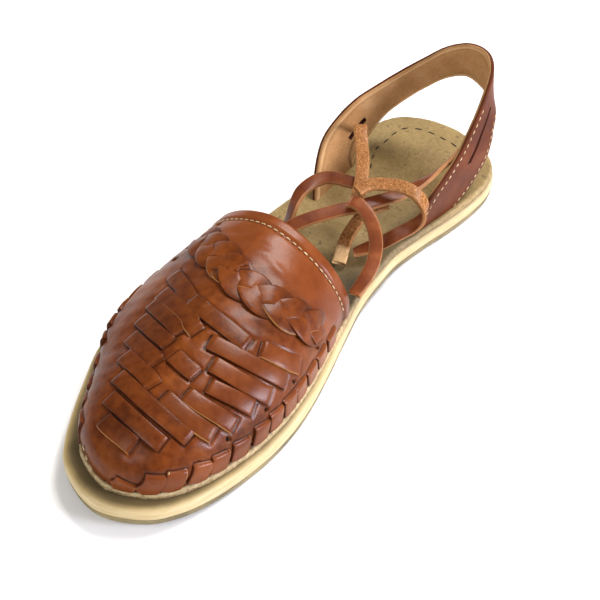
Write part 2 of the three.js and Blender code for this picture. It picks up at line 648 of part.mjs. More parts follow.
// A closed patch laid on the form along a path of places. low and high are depths under the form's skin,
// and bevel is the share of the width that stays at full height. Tapered ends dive into the wall.
function makePatch(path, { width, low, high, bevel, taper }) {
  const shell = new Shell();
  const last = path.length - 1;
  const rings = path.map((place, index) => {
    const before = path[Math.max(0, index - 1)];
    const after = path[Math.min(last, index + 1)];
    const girth = formGirth(place.along);
    const runAlong = (after.along - before.along) * formLength;
    const runTurn = (after.turn - before.turn) * girth;
    const run = Math.hypot(runAlong, runTurn);
    const isEnd = index === 0 || index === last;
    const top = taper && isEnd ? low : high;
    const corners = [[1, low], [bevel, top], [-bevel, top], [-1, low]];
    return corners.map(([side, depth]) => {
      const shift = (side * width) / 2 / run;
      const along = place.along + (shift * runTurn) / formLength;
      const turn = THREE.MathUtils.clamp(place.turn - (shift * runAlong) / girth, 0, 1);
      return shell.add(formAt(Math.max(0, along), turn, depth));
    });
  });
  for (let index = 0; index < last; index += 1) {
    for (let corner = 0; corner < 4; corner += 1) {
      const next = (corner + 1) % 4;
      const [near, far] = [rings[index], rings[index + 1]];
      shell.quad(near[corner], near[next], far[next], far[corner]);
    }
  }
  shell.quad(rings[0][3], rings[0][2], rings[0][1], rings[0][0]);
  shell.quad(rings[last][0], rings[last][1], rings[last][2], rings[last][3]);
  return solidFrom(shell.geometry());
}

const STRIP = { low: STRIP_SINK, high: -STRIP_RELIEF, bevel: 0.84, width: STRIP_WIDTH, taper: true };

function makeBar(row) {
  const path = [0, 0.1, 0.3, 0.5, 0.7, 0.9, 1].map((share) => ({
    along: row.outerAlong + (row.innerAlong - row.outerAlong) * share - row.bow * 4 * share * (1 - share),
    turn: row.outerTurn + (row.innerTurn - row.outerTurn) * share,
  }));
  return makePatch(path, STRIP);
}

function makeWrap(row, side) {
  const path = [0, 0.3, 0.62, 0.85, 1].map((share) => {
    const rise = row.rise * share;
    return {
      along: row.foot + (row.top - row.foot) * share,
      turn: side === "inner" ? 1 - rise : rise,
    };
  });
  return makePatch(path, { ...STRIP, width: WRAP_WIDTH, high: -WRAP_RELIEF });
}

// One plait of the braid, slanting from one edge of the braid past its middle.
function makePlait(index) {
  const first = BRAID[0].along;
  const span = BRAID.at(-1).along - first;
  const middle = first + (span * (index + 0.5)) / PLAIT_COUNT;
  const lean = index % 2 === 0 ? 1 : -1;
  const girth = formGirth(tableValue(BRAID, middle, "place"));
  const path = [0, 0.2, 0.5, 0.8, 1].map((share) => {
    const turn = middle + ((share - 0.5) * PLAIT_LENGTH * PLAIT_REACH) / girth;
    const offset = lean * (PLAIT_LEAD - PLAIT_CROSS * share) * PLAIT_LENGTH;
    return { along: tableValue(BRAID, turn, "place") + offset / formLength, turn };
  });
  return makePatch(path, { ...STRIP, width: PLAIT_WIDTH, high: -PLAIT_RELIEF, bevel: 0.6 });
}

function makeGap({ along, turn }) {
  const reach = GAP_LENGTH / 2 / formGirth(along);
  const path = [{ along, turn: turn - reach }, { along, turn: turn + reach }];
  const beyond = 1;
  const over = STRIP_RELIEF + PLAIT_RELIEF;
  return makePatch(path, { width: GAP_WIDTH, low: VAMP_WALL + beyond, high: -over, bevel: 1, taper: false });
}

// Edges shorter than this are closed up after the strips are joined.
const SHORTEST_EDGE = 0.02;

function makeVamp() {
  let vamp = solidFrom(makeVampShell());
  const raised = [
    ...BARS.map(makeBar),
    ...WRAPS.map((row) => makeWrap(row, "inner")),
    ...WRAPS.slice(OUTER_WRAP_START).map((row) => makeWrap(row, "outer")),
    ...Array.from({ length: PLAIT_COUNT }, (_, index) => makePlait(index)),
  ];
  for (const strip of raised) {
    vamp = vamp.add(strip);
  }
  for (const row of GAPS) {
    vamp = vamp.subtract(makeGap(row));
  }
  return vamp.simplify(SHORTEST_EDGE);
}

// A point of the heel strap's middle layer. place counts rows of the strap table, share runs from the
// front edge to the rear one.
const STRAP_ROWS = STRAP.map((row, index) => ({ ...row, along: index }));

function strapMiddle(place, share) {
  const value = (column) => tableValue(STRAP_ROWS, place, column);
  const edge = (name) => {
    const y = SOLE_LENGTH / 2 - SOLE_LENGTH * value(name + "Y");
    return new THREE.Vector3(BALL_WIDTH * value(name + "X"), y, STRAP_HEIGHT * value(name + "Z"));
  };
  return seated(edge("front").lerp(edge("rear"), share), INSOLE_BASE);
}

// The same point moved off the middle layer, toward the foot for a positive lift.
function strapPoint(place, share, lift) {
  const step = 0.02;
  const last = STRAP.length - 1;
  const runsFrom = strapMiddle(Math.max(0, place - step), share);
  const runsTo = strapMiddle(Math.min(last, place + step), share);
  const across = strapMiddle(place, share + step).sub(strapMiddle(place, share - step));
  const normal = runsTo.sub(runsFrom).cross(across).normalize();
  return strapMiddle(place, share).addScaledVector(normal, lift);
}

// A stretch of the strap as a closed band between two rows and two shares of its width.
function makeBand({ start, end, steps, from, to, columns, half, drop }) {
  const shell = new Shell();
  const layers = [-half, half].map((lift) => {
    const rows = [];
    for (let step = 0; step <= steps; step += 1) {
      const row = [];
      const place = start + ((end - start) * step) / steps;
      const isEnd = step === 0 || step === steps;
      for (let column = 0; column <= columns; column += 1) {
        const share = from + ((to - from) * column) / columns;
        const point = strapPoint(place, share, lift);
        if (isEnd) {
          point.z = strapMiddle(place, share).z - drop;
        }
        row.push(shell.add(point));
      }
      rows.push(row);
    }
    return rows;
  });
  const [outerFace, innerFace] = layers;
  for (let step = 0; step < steps; step += 1) {
    const [outerNow, outerNext] = [outerFace[step], outerFace[step + 1]];
    const [innerNow, innerNext] = [innerFace[step], innerFace[step + 1]];
    for (let column = 0; column < columns; column += 1) {
      const next = column + 1;
      shell.quad(innerNow[column], innerNext[column], innerNext[next], innerNow[next]);
      shell.quad(outerNow[next], outerNext[next], outerNext[column], outerNow[column]);
    }
    shell.quad(outerNow[0], outerNext[0], innerNext[0], innerNow[0]);
    shell.quad(innerNow[columns], innerNext[columns], outerNext[columns], outerNow[columns]);
  }
  for (let column = 0; column < columns; column += 1) {
    const next = column + 1;
    shell.quad(outerFace[0][next], outerFace[0][column], innerFace[0][column], innerFace[0][next]);
    const [outerLast, innerLast] = [outerFace[steps], innerFace[steps]];
    shell.quad(outerLast[column], outerLast[next], innerLast[next], innerLast[column]);
  }
  return solidFrom(shell.geometry());
}

const lastRow = STRAP.length - 1;
const STRAP_BAND = {
  start: 0,
  end: lastRow,
  steps: 48,
  from: 0,
  to: 1,
  columns: 3,
  half: STRAP_THICKNESS / 2,
  drop: 0,
};

function makeStrap() {
  let strap = makeBand(STRAP_BAND);
  for (const { start, end, share } of SLITS) {
    const width = strapMiddle(start, 0).distanceTo(strapMiddle(start, 1));
    const reach = SLIT_WIDTH / 2 / width;
    const slit = { ...STRAP_BAND, start, end, steps: 6, from: share - reach, to: share + reach, columns: 1 };
    strap = strap.subtract(makeBand({ ...slit, half: STRAP_THICKNESS }));
  }
  return strap;
}

// The slots of the insole, cut by both feet of the strap with a clearance all round. Each foot stands in
// its slot over its own number of rows of the strap table.
const INNER_FOOT_ROWS = 2;
const OUTER_FOOT_ROWS = 3;

function makeSlots() {
  const span = 0.02;
  const below = 1;
  const around = { steps: 10, from: -span, to: 1 + span, half: STRAP_THICKNESS / 2 + SEAT_GAP, drop: below };
  const innerSlot = makeBand({ ...STRAP_BAND, ...around, start: 0, end: INNER_FOOT_ROWS });
  const outerSlot = makeBand({ ...STRAP_BAND, ...around, start: lastRow - OUTER_FOOT_ROWS, end: lastRow });
  return innerSlot.add(outerSlot);
}

const insoleRounding = 0.4;
const insoleSlab = makeSlab(
  [
    { inset: 0, height: INSOLE_BASE },
    { inset: 0, height: INSOLE_BASE + INSOLE_THICKNESS - insoleRounding },
    { inset: insoleRounding, height: INSOLE_BASE + INSOLE_THICKNESS },
  ],
  1,
);

// A flat thong swept along its route.
function makeThong(route) {
  const path = new THREE.CatmullRomCurve3(route.map(({ x, y, z }) => new THREE.Vector3(x, y, z)));
  const steps = Math.round(path.getLength() / THONG_STEP);
  const shell = new Shell();
  const rings = [];
  for (let step = 0; step <= steps; step += 1) {
    const share = step / steps;
    const place = share * (route.length - 1);
    const low = route[Math.floor(place)];
    const high = route[Math.min(route.length - 1, Math.floor(place) + 1)];
    const mix = (name) => THREE.MathUtils.degToRad(THREE.MathUtils.lerp(low[name], high[name], place % 1));
    const [heading, tilt] = [mix("heading"), mix("tilt")];
    const width = new THREE.Vector3(Math.cos(heading), Math.sin(heading), Math.tan(tilt));
    const tangent = path.getTangent(share);
    width.addScaledVector(tangent, -width.dot(tangent)).setLength(THONG_WIDTH / 2);
    const normal = width.clone().cross(tangent).setLength(THONG_THICKNESS / 2);
    const middle = path.getPoint(share);
    const corners = [[1, -1], [1, 1], [-1, 1], [-1, -1]];
    rings.push(corners.map(([side, face]) => shell.add(
      middle.clone().addScaledVector(width, side).addScaledVector(normal, face),
    )));
  }
  for (let step = 0; step < steps; step += 1) {
    for (let corner = 0; corner < 4; corner += 1) {
      const next = (corner + 1) % 4;
      shell.quad(rings[step][corner], rings[step + 1][corner], rings[step + 1][next], rings[step][next]);
    }
  }
  shell.quad(rings[0][0], rings[0][1], rings[0][2], rings[0][3]);
  shell.quad(rings[steps][3], rings[steps][2], rings[steps][1], rings[steps][0]);
  return solidFrom(shell.geometry());
}

// A place on the strap's inner face beside one slit, where the middle of the thong arrives. way is the
// share of the slit's length.
function slitMouth({ start, end, share }, way, heading, tilt) {
  const lift = STRAP_THICKNESS / 2 + THONG_WIDTH / 2 + SEAT_GAP;
  const point = strapPoint(start + (end - start) * way, share, lift);
  return { x: point.x, y: point.y, z: point.z, heading, tilt };
}

// The joined bars: the thong across the instep to the inner slit and the one back to the outer slit.
function makeLaceBars() {
  const [innerSlit, outerSlit] = SLITS;
  const across = makeThong([...ACROSS_ROUTE, slitMouth(innerSlit, 0.15, -10, 75)]);
  const back = makeThong([slitMouth(outerSlit, 0.5, 35, 0), ...BACK_ROUTE]);
  return across.add(back);
}

addPiece("insole", geometryFrom(solidFrom(insoleSlab).subtract(makeSlots())), MATERIALS.insole);
addPiece("vamp", geometryFrom(makeVamp()), MATERIALS.vamp);
addPiece("heel_strap", geometryFrom(makeStrap()), MATERIALS.strap);
addPiece("lace_bars", geometryFrom(makeLaceBars()), MATERIALS.thong);
addPiece("lace_loop", geometryFrom(makeThong(LOOP_ROUTE)), MATERIALS.thong);
addPiece("lace_end_inner", geometryFrom(makeThong(INNER_ROUTE)), MATERIALS.thong);
addPiece("lace_end_outer", geometryFrom(makeThong(OUTER_ROUTE)), MATERIALS.thong);
addPiece("lace_end_cut", geometryFrom(makeThong(CUT_END_ROUTE)), MATERIALS.thong);

// The origin moves under the middle of the sole's width.
const outlineX = outlineCurve.getPoints(600).map((point) => point.x);
sandal.position.x = -(Math.max(...outlineX) + Math.min(...outlineX)) / 2;

export default sandal;
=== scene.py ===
"""Looks of a huarache sandal: woven leather toe, braid, heel strap, thong laces and a flat leather sole.

The toe points to -Y and the wearer's inner side is +X. Sizes are in millimetres until a mesh is made.
"""

import math

import bpy
import numpy as np
from bpy.props import FloatProperty, FloatVectorProperty, IntProperty, PointerProperty
from bpy.types import Operator, Panel, PropertyGroup
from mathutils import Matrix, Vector


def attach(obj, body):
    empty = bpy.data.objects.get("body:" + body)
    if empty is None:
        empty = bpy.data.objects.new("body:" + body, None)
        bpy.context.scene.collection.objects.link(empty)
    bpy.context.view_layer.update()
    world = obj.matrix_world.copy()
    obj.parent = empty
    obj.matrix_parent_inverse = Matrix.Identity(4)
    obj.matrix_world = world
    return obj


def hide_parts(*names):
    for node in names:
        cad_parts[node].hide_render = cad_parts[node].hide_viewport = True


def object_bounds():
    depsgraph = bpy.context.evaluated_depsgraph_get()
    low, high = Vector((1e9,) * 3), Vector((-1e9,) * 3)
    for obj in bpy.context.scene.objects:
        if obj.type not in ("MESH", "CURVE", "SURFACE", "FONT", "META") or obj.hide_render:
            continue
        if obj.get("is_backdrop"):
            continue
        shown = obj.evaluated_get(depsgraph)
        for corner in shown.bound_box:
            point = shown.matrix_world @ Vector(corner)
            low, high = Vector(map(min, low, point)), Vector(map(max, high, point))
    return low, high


bl_info = {
    "name": "Huarache Sandal",
    "version": (1, 0, 0),
    "blender": (4, 5, 0),
    "location": "View3D > Sidebar > Sandal",
    "description": "Builds a woven leather sandal around its packed solids",
    "category": "Add Mesh",
}

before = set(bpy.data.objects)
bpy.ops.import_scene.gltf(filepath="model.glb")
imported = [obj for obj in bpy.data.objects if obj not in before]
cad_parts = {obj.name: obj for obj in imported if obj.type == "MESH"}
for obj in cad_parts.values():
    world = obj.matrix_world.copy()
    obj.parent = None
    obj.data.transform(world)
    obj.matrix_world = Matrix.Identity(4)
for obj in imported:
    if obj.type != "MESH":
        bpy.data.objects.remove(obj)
CAD_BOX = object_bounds()

MM = 0.001
SEED = 7

# Sizes of the sole
SOLE_LENGTH = 245
BALL_WIDTH = 86
HEEL_TIP_X = 0
TOE_TIP_X = 4.5
OUTSOLE_THICKNESS = 2.6
MIDSOLE_THICKNESS = 5.4
INSOLE_THICKNESS = 2.6
RIM_ROUNDING = 1.6
TOE_SPRING = 4
ARCH_LIFT = 1.6
FLANGE = 6
SEAT_GAP = 0.3
ARCH_START, ARCH_END, TOE_START = 0.27, 0.52, 0.76

# Sizes of the upper, the strap and the thong
FEATHER_STEP = 0.9
VAMP_WALL = 2
INSTEP_HEIGHT = 37
THROAT_PLACE = 0.482
THROAT_LEAN = 0.12
WALL_TURN = 1 / 13
EDGE_WIDTH = 4.4
STRIP_WIDTH = 6.4
STRIP_RELIEF = 1.0
STRIP_ROOT = 1.1
STRIP_ROUNDING = 0.36
STRIP_DIVE = 1.2
STRIP_SINK = 0.9
WRAP_WIDTH = 7.8
WRAP_RELIEF = 0.7
STRAP_THICKNESS = 2.4
STRAP_HEIGHT = 59.5
THONG_WIDTH = 5.5
THONG_THICKNESS = 1.8
SLIT_WIDTH = THONG_THICKNESS + 2 * SEAT_GAP

# Depths of the hand work in the skin
GROOVE_DEPTH = 0.3
GROOVE_REACH = 0.7
HOLE_DEPTH = 1.5
EDGE_ROLL = 0.5
STITCH_SINK = 0.45

MIDSOLE_BASE = OUTSOLE_THICKNESS + SEAT_GAP
INSOLE_BASE = OUTSOLE_THICKNESS + MIDSOLE_THICKNESS + 2 * SEAT_GAP
INSOLE_TOP = INSOLE_BASE + INSOLE_THICKNESS
UPPER_BASE = INSOLE_TOP + SEAT_GAP
THROAT_Y = SOLE_LENGTH / 2 - THROAT_PLACE * SOLE_LENGTH

# Sole outline from heel to toe: place along the sole, inner and outer width as shares of the ball
# width, and how far the insole stays inside the sole on each side as a share of the flange.
OUTLINE_COLUMNS = ("along", "inner", "outer", "rim_inner", "rim_outer")
OUTLINE = (
    (0, 0, 0, 0.1, 0.1),
    (0.02, 0.24, 0.217, 0.1, 0.1),
    (0.05, 0.34, 0.297, 0.1, 0.1),
    (0.09, 0.377, 0.334, 0.1, 0.1),
    (0.14, 0.374, 0.346, 0.1, 0.1),
    (0.2, 0.346, 0.352, 0.1, 0.1),
    (0.26, 0.305, 0.357, 0.1, 0.1),
    (0.32, 0.278, 0.356, 0.1, 0.1),
    (0.38, 0.284, 0.37, 0.1, 0.1),
    (0.44, 0.299, 0.4, 0.1, 0.15),
    (0.5, 0.336, 0.44, 0.12, 0.25),
    (0.57, 0.389, 0.486, 0.2, 0.35),
    (0.64, 0.435, 0.522, 0.3, 0.45),
    (0.7, 0.459, 0.532, 0.36, 0.6),
    (0.76, 0.459, 0.509, 0.4, 0.75),
    (0.82, 0.437, 0.44, 0.45, 0.9),
    (0.88, 0.398, 0.36, 0.55, 1),
    (0.93, 0.34, 0.279, 0.7, 1),
    (0.97, 0.252, 0.182, 0.9, 1.05),
    (1, 0, 0, 1.1, 1.1),
)

# Toe form from the tip to the throat: ridge and wall heights as shares of the instep height, the
# place of the ridge and the fullness of the arch on each side.
FORM_COLUMNS = ("along", "height", "crest", "wall_outer", "wall_inner", "full_outer", "full_inner")
TOE_FORM = (
    (0, 0, 0.5, 0, 0, 2.2, 2.2),
    (0.02, 0.25, 0.5, 0.06, 0.05, 2.2, 2.2),
    (0.08, 0.43, 0.5, 0.12, 0.1, 2.1, 2.1),
    (0.2, 0.6, 0.5, 0.18, 0.12, 1.8, 2),
    (0.4, 0.75, 0.5, 0.23, 0.14, 1.32, 1.9),
    (0.6, 0.87, 0.5, 0.27, 0.15, 1.25, 1.85),
    (0.8, 0.96, 0.49, 0.32, 0.15, 1.4, 1.8),
    (1, 1, 0.48, 0.36, 0.15, 1.6, 1.75),
)

# Bars of the weave from their outer end to their inner end. bow leads the middle toward the toe.
BAR_COLUMNS = ("outer_along", "outer_turn", "inner_along", "inner_turn", "bow")
BARS = (
    (0.115, 0.37, 0.088, 0.59, 0.008),
    (0.185, 0.34, 0.141, 0.68, 0.016),
    (0.259, 0.32, 0.205, 0.735, 0.02),
    (0.338, 0.3, 0.269, 0.505, 0.004),
    (0.257, 0.545, 0.269, 0.785, 0.012),
    (0.412, 0.285, 0.342, 0.45, 0.004),
    (0.305, 0.6, 0.341, 0.81, 0.008),
    (0.484, 0.28, 0.415, 0.445, 0.004),
    (0.389, 0.495, 0.371, 0.6, 0),
    (0.372, 0.64, 0.427, 0.81, 0.006),
    (0.555, 0.28, 0.462, 0.475, 0.004),
    (0.431, 0.61, 0.494, 0.825, 0.008),
    (0.602, 0.285, 0.494, 0.535, 0.004),
    (0.486, 0.57, 0.573, 0.835, 0.008),
    (0.685, 0.28, 0.585, 0.415, 0.002),
    (0.59, 0.405, 0.561, 0.67, 0.012),
    (0.577, 0.695, 0.653, 0.845, 0.004),
)

# Wraps over the border: place of the foot, place of the upper end and the part of the turn they take.
WRAP_COLUMNS = ("foot", "top", "rise")
WRAPS = (
    (0.004, 0.02, 0.2),
    (0.035, 0.075, 0.2),
    (0.09, 0.124, 0.17),
    (0.165, 0.2, 0.14),
    (0.235, 0.26, 0.13),
    (0.315, 0.338, 0.125),
    (0.4, 0.425, 0.12),
    (0.475, 0.492, 0.12),
    (0.552, 0.562, 0.115),
    (0.622, 0.624, 0.11),
    (0.7, 0.698, 0.105),
    (0.775, 0.773, 0.1),
    (0.85, 0.855, 0.1),
)

# The outer side has no wraps at the toe cap, so its first wrap is this row of the table. A few wraps
# of the inner side show the pale cut edge of their leather.
OUTER_WRAP_START = 2
PALE_WRAPS = (WRAPS[0], WRAPS[2], WRAPS[4], WRAPS[5])

# Centre line of the braid: turn over the instep and place along the form.
BRAID_COLUMNS = ("along", "place")
BRAID = (
    (0.27, 0.85),
    (0.38, 0.785),
    (0.54, 0.725),
    (0.62, 0.72),
    (0.72, 0.746),
    (0.84, 0.8),
)

# Heel strap from its inner foot round the heel to its outer foot. X is a share of the ball width, Y of
# the sole length from the heel tip and Z of the strap's height over the insole's underside.
STRAP_COLUMNS = ("front_x", "front_y", "front_z", "rear_x", "rear_y", "rear_z")
STRAP = (
    (0.248, 0.282, 0, 0.312, 0.176, 0),
    (0.267, 0.278, 0.11, 0.326, 0.159, 0.07),
    (0.291, 0.267, 0.225, 0.335, 0.133, 0.116),
    (0.308, 0.249, 0.343, 0.34, 0.106, 0.183),
    (0.314, 0.216, 0.402, 0.343, 0.086, 0.259),
    (0.314, 0.173, 0.477, 0.343, 0.076, 0.376),
    (0.314, 0.145, 0.578, 0.337, 0.071, 0.444),
    (0.312, 0.116, 0.687, 0.328, 0.063, 0.511),
    (0.3, 0.084, 0.797, 0.302, 0.051, 0.561),
    (0.273, 0.053, 0.889, 0.262, 0.041, 0.603),
    (0.215, 0.035, 0.948, 0.203, 0.035, 0.645),
    (0.116, 0.033, 0.948, 0.116, 0.033, 0.671),
    (0.012, 0.045, 0.881, 0.012, 0.037, 0.595),
    (-0.081, 0.061, 0.763, -0.081, 0.045, 0.477),
    (-0.163, 0.084, 0.662, -0.163, 0.059, 0.36),
    (-0.233, 0.124, 0.587, -0.227, 0.088, 0.259),
    (-0.273, 0.165, 0.553, -0.244, 0.124, 0.192),
    (-0.302, 0.206, 0.477, -0.25, 0.157, 0.116),
    (-0.308, 0.245, 0.385, -0.247, 0.178, 0.07),
    (-0.279, 0.28, 0.225, -0.243, 0.184, 0.034),
    (-0.238, 0.306, 0, -0.238, 0.188, 0),
)
STRAP_ROWS = len(STRAP) - 1

# Slits of the strap: first and last row of the strap table and the share of its width.
SLITS = ((4.3, 7.6, 0.48), (16.1, 17.2, 0.55))

# Routes of the thong: middle of the thong, then heading and tilt of its width in degrees.
ACROSS_ROUTE = (
    (-12, 6, 28, -31, -15),
    (-6.2, 16.4, 32, -31, -20),
    (2.6, 29.1, 33.4, -33, -20),
    (7.4, 34.7, 33.6, -36, -18),
    (12.6, 42.5, 33.4, -34, -16),
    (17.5, 51.6, 33, -28, -8),
    (21, 63, 32.5, -23, 20),
    (23, 74, 32.5, -20, 60),
)
BACK_ROUTE = (
    (-14, 71.4, 39, 32, 0),
    (-9, 64.8, 37.8, 31, 0),
    (-3.3, 57.3, 37, 32, 0),
    (1.9, 48.9, 36.2, 30, 0),
    (5.7, 41, 34.9, 25, -5),
    (7.8, 36.4, 33.9, 20, -8),
)
LOOP_ROUTE = (
    (6.4, 38.8, 38.8, -50, 0),
    (9.2, 44.4, 39.6, -58, -12),
    (14.5, 47.6, 40, -68, -18),
    (20.4, 49.6, 40.4, -80, -20),
    (27, 49.6, 40, -82, -12),
    (31.6, 48.2, 37.4, -75, -2),
    (32.6, 45.8, 33, -55, -10),
    (29.6, 43.2, 28.6, -35, -25),
    (25.3, 39.6, 25, -24, -34),
    (21.2, 35.8, 21.5, -20, -38),
    (16.7, 32.6, 18.4, -38, -12),
    (12.4, 28.6, 16.4, -60, 15),
)
INNER_ROUTE = (
    (6, 34.6, 36.4, -80, -8),
    (9.6, 34.8, 36.6, -92, -14),
    (14.4, 33.6, 35.4, -112, -15),
    (19.6, 30.8, 32.8, -130, -10),
    (24, 26.2, 29.4, -145, 0),
    (26.6, 20.6, 26.2, -158, 8),
    (27.8, 13.4, 23.6, -168, 5),
    (27.9, 5.8, 21, -172, -15),
)
OUTER_ROUTE = (
    (-11.6, 11, 23, 175, -50),
    (-12.6, 19.4, 28, 172, -45),
    (-14.6, 26, 30.4, 168, -30),
    (-15.6, 32.6, 32, 158, 0),
    (-13.8, 39.6, 33, 135, 18),
    (-9.6, 44.4, 33.4, 112, 20),
    (0.4, 47.2, 33.4, 92, 10),
)
CUT_END_ROUTE = (
    (15.2, 47, 30.8, -32, -16),
    (11.8, 40.4, 30.7, -34, -18),
    (10.4, 36.2, 29, -30, -14),
    (8.9, 32.6, 25, -22, -8),
    (7.8, 30.4, 21, -10, -10),
    (7.9, 27.6, 17.4, 5, -12),
    (8.9, 24.6, 15.8, 15, -8),
    (10.2, 21.2, 15.2, 20, -6),
)

# Camera that matches the photograph
CAMERA_AZIMUTH = 35.29
CAMERA_ELEVATION = 46.74
CAMERA_DISTANCE = 650
CAMERA_LENS = 97.19
CAMERA_TARGET = (0.93, 7.67, 0)


def srgb(code):
    """Linear colour of an sRGB hex value."""
    parts = [int(code[place : place + 2], 16) / 255 for place in (1, 3, 5)]
    linear = [part / 12.92 if part <= 0.04045 else ((part + 0.055) / 1.055) ** 2.4 for part in parts]
    return (*linear, 1.0)


class SandalSettings(PropertyGroup):
    """Sizes and colours that change the look of the sandal."""

    stitch_pitch: FloatProperty(
        name="Stitch pitch", description="Distance between stitches", default=0.0029, unit="LENGTH"
    )
    thread_width: FloatProperty(
        name="Thread width", description="Thickness of the sewing thread", default=0.0007, unit="LENGTH"
    )
    insole_pitch: FloatProperty(
        name="Insole stitch pitch", description="Distance between stitches in the insole", default=0.0058,
        unit="LENGTH",
    )
    upper_dye: FloatVectorProperty(
        name="Upper dye", description="Dye of the toe", subtype="COLOR", size=4, default=srgb("#662d0a")
    )
    thread_colour: FloatVectorProperty(
        name="Thread colour", description="Clean thread", subtype="COLOR", size=4, default=srgb("#cfb78e")
    )
    vamp_rows: IntProperty(name="Vamp rows", description="Rows of faces along the toe form", default=221)
    vamp_columns: IntProperty(name="Vamp columns", description="Faces over the toe form", default=280)


def settings():
    return bpy.context.scene.sandal


# Tables and curves


def table_value(rows, names, column, places):
    """Values of one column at many places, by a smooth curve through the rows."""
    data = np.asarray(rows, float)
    along = data[:, 0]
    value = data[:, names.index(column)]
    places = np.clip(np.asarray(places, float), along[0], along[-1])
    low = np.clip(np.searchsorted(along, places, side="left") - 1, 0, len(along) - 2)
    high = low + 1
    before = np.maximum(low - 1, 0)
    after = np.minimum(high + 1, len(along) - 1)
    span = along[high] - along[low]
    share = (places - along[low]) / span
    slope_low = (value[high] - value[before]) / (along[high] - along[before]) * span
    slope_high = (value[after] - value[low]) / (along[after] - along[low]) * span
    square, cube = share**2, share**3
    return (
        (2 * cube - 3 * square + 1) * value[low]
        + (cube - 2 * square + share) * slope_low
        + (3 * square - 2 * cube) * value[high]
        + (cube - square) * slope_high
    )


def smooth_step(low, high, value):
    share = np.clip((np.asarray(value, float) - low) / (high - low), 0, 1)
    return share * share * (3 - 2 * share)


def catmull_points(points, count, closed=False, centripetal=False):
    """Many points on a smooth curve through a few, as arrays of places and positions."""
    points = np.asarray(points, float)
    total = len(points)
    spans = total if closed else total - 1
    made = []
    for span in range(spans):
        if closed:
            p0, p1, p2, p3 = (points[(span + step) % total] for step in (-1, 0, 1, 2))
        else:
            p1, p2 = points[span], points[span + 1]
            p0 = points[span - 1] if span else 2 * p1 - p2
            p3 = points[span + 2] if span + 2 < total else 2 * p2 - p1
        if centripetal:
            d0, d1, d2 = (max(np.sum((b - a) ** 2) ** 0.25, 1e-4) for a, b in ((p0, p1), (p1, p2), (p2, p3)))
            t1 = (p1 - p0) / d0 - (p2 - p0) / (d0 + d1) + (p2 - p1) / d1
            t2 = (p2 - p1) / d1 - (p3 - p1) / (d1 + d2) + (p3 - p2) / d2
            t1, t2 = t1 * d1, t2 * d1
        else:
            t1, t2 = (p2 - p0) / 2, (p3 - p1) / 2
        share = np.linspace(0, 1, count, endpoint=False)[:, None]
        square, cube = share**2, share**3
        made.append(
            (2 * cube - 3 * square + 1) * p1
            + (cube - 2 * square + share) * t1
            + (3 * square - 2 * cube) * p2
            + (cube - square) * t2
        )
    last = points[0] if closed else points[-1]
    return np.vstack([*made, last[None]])


def unit(vectors):
    return vectors / (np.linalg.norm(vectors, axis=-1, keepdims=True) + 1e-9)


def run_length(points):
    """Distance of each point from the first, along the line."""
    steps = np.linalg.norm(np.diff(points, axis=0), axis=1)
    return np.concatenate([[0], np.cumsum(steps)])


def resample(points, count):
    """The same curve with evenly spaced points."""
    length = run_length(points)
    places = np.linspace(0, length[-1], count)
    return np.stack([np.interp(places, length, points[:, axis]) for axis in range(points.shape[1])], axis=1)


# Sole outline


def make_outline():
    """Outline points from heel tip to toe tip for each side, with the direction that leads inward."""
    rows = OUTLINE[1:-1]
    place_y = lambda along: SOLE_LENGTH / 2 - along * SOLE_LENGTH
    points = [(HEEL_TIP_X, place_y(0))]
    points += [(row[1] * BALL_WIDTH, place_y(row[0])) for row in rows]
    points.append((TOE_TIP_X, place_y(1)))
    points += [(-row[2] * BALL_WIDTH, place_y(row[0])) for row in reversed(rows)]
    curve = catmull_points(points, 60, closed=True, centripetal=True)
    toe = int(np.argmin(curve[:, 1]))
    sides = {}
    for side, part in (("inner", curve[: toe + 1]), ("outer", curve[toe:][::-1])):
        line = resample(part, 401)
        tangent = unit(np.gradient(line, axis=0))
        sign = 1 if side == "inner" else -1
        inward = sign * np.stack([tangent[:, 1], -tangent[:, 0]], axis=1)
        sides[side] = (line, inward)
    return sides


OUTLINE_SIDES = make_outline()


def outline_side(side, inset, flange=0.0):
    """One side of the outline moved inward, from the heel tip to the toe tip."""
    line, inward = OUTLINE_SIDES[side]
    along = (SOLE_LENGTH / 2 - line[:, 1]) / SOLE_LENGTH
    rim = table_value(OUTLINE, OUTLINE_COLUMNS, "rim_" + side, along)
    return line + inward * (inset + flange * FLANGE * rim)[:, None]


def edge_x(side, y, inset):
    line = outline_side(side, inset, 1.0)[::-1]
    keep = np.concatenate([[True], np.diff(np.maximum.accumulate(line[:, 1])) > 0])
    return np.interp(y, line[keep, 1], line[keep, 0])


def ground_lift(y):
    along = (SOLE_LENGTH / 2 - np.asarray(y, float)) / SOLE_LENGTH
    wave = np.sin(np.pi * (along - ARCH_START) / (ARCH_END - ARCH_START))
    arch = np.where((along > ARCH_START) & (along < ARCH_END), ARCH_LIFT * wave**2, 0)
    toe = TOE_SPRING * (np.clip(along - TOE_START, 0, None) / (1 - TOE_START)) ** 2
    return arch + toe


# Toe form

TIP_Y = outline_side("inner", FEATHER_STEP, 1.0)[-1, 1]
FORM_LENGTH = THROAT_Y - TIP_Y
FORM_ROOTS = tuple((math.sqrt(row[0]), *row[1:]) for row in TOE_FORM)


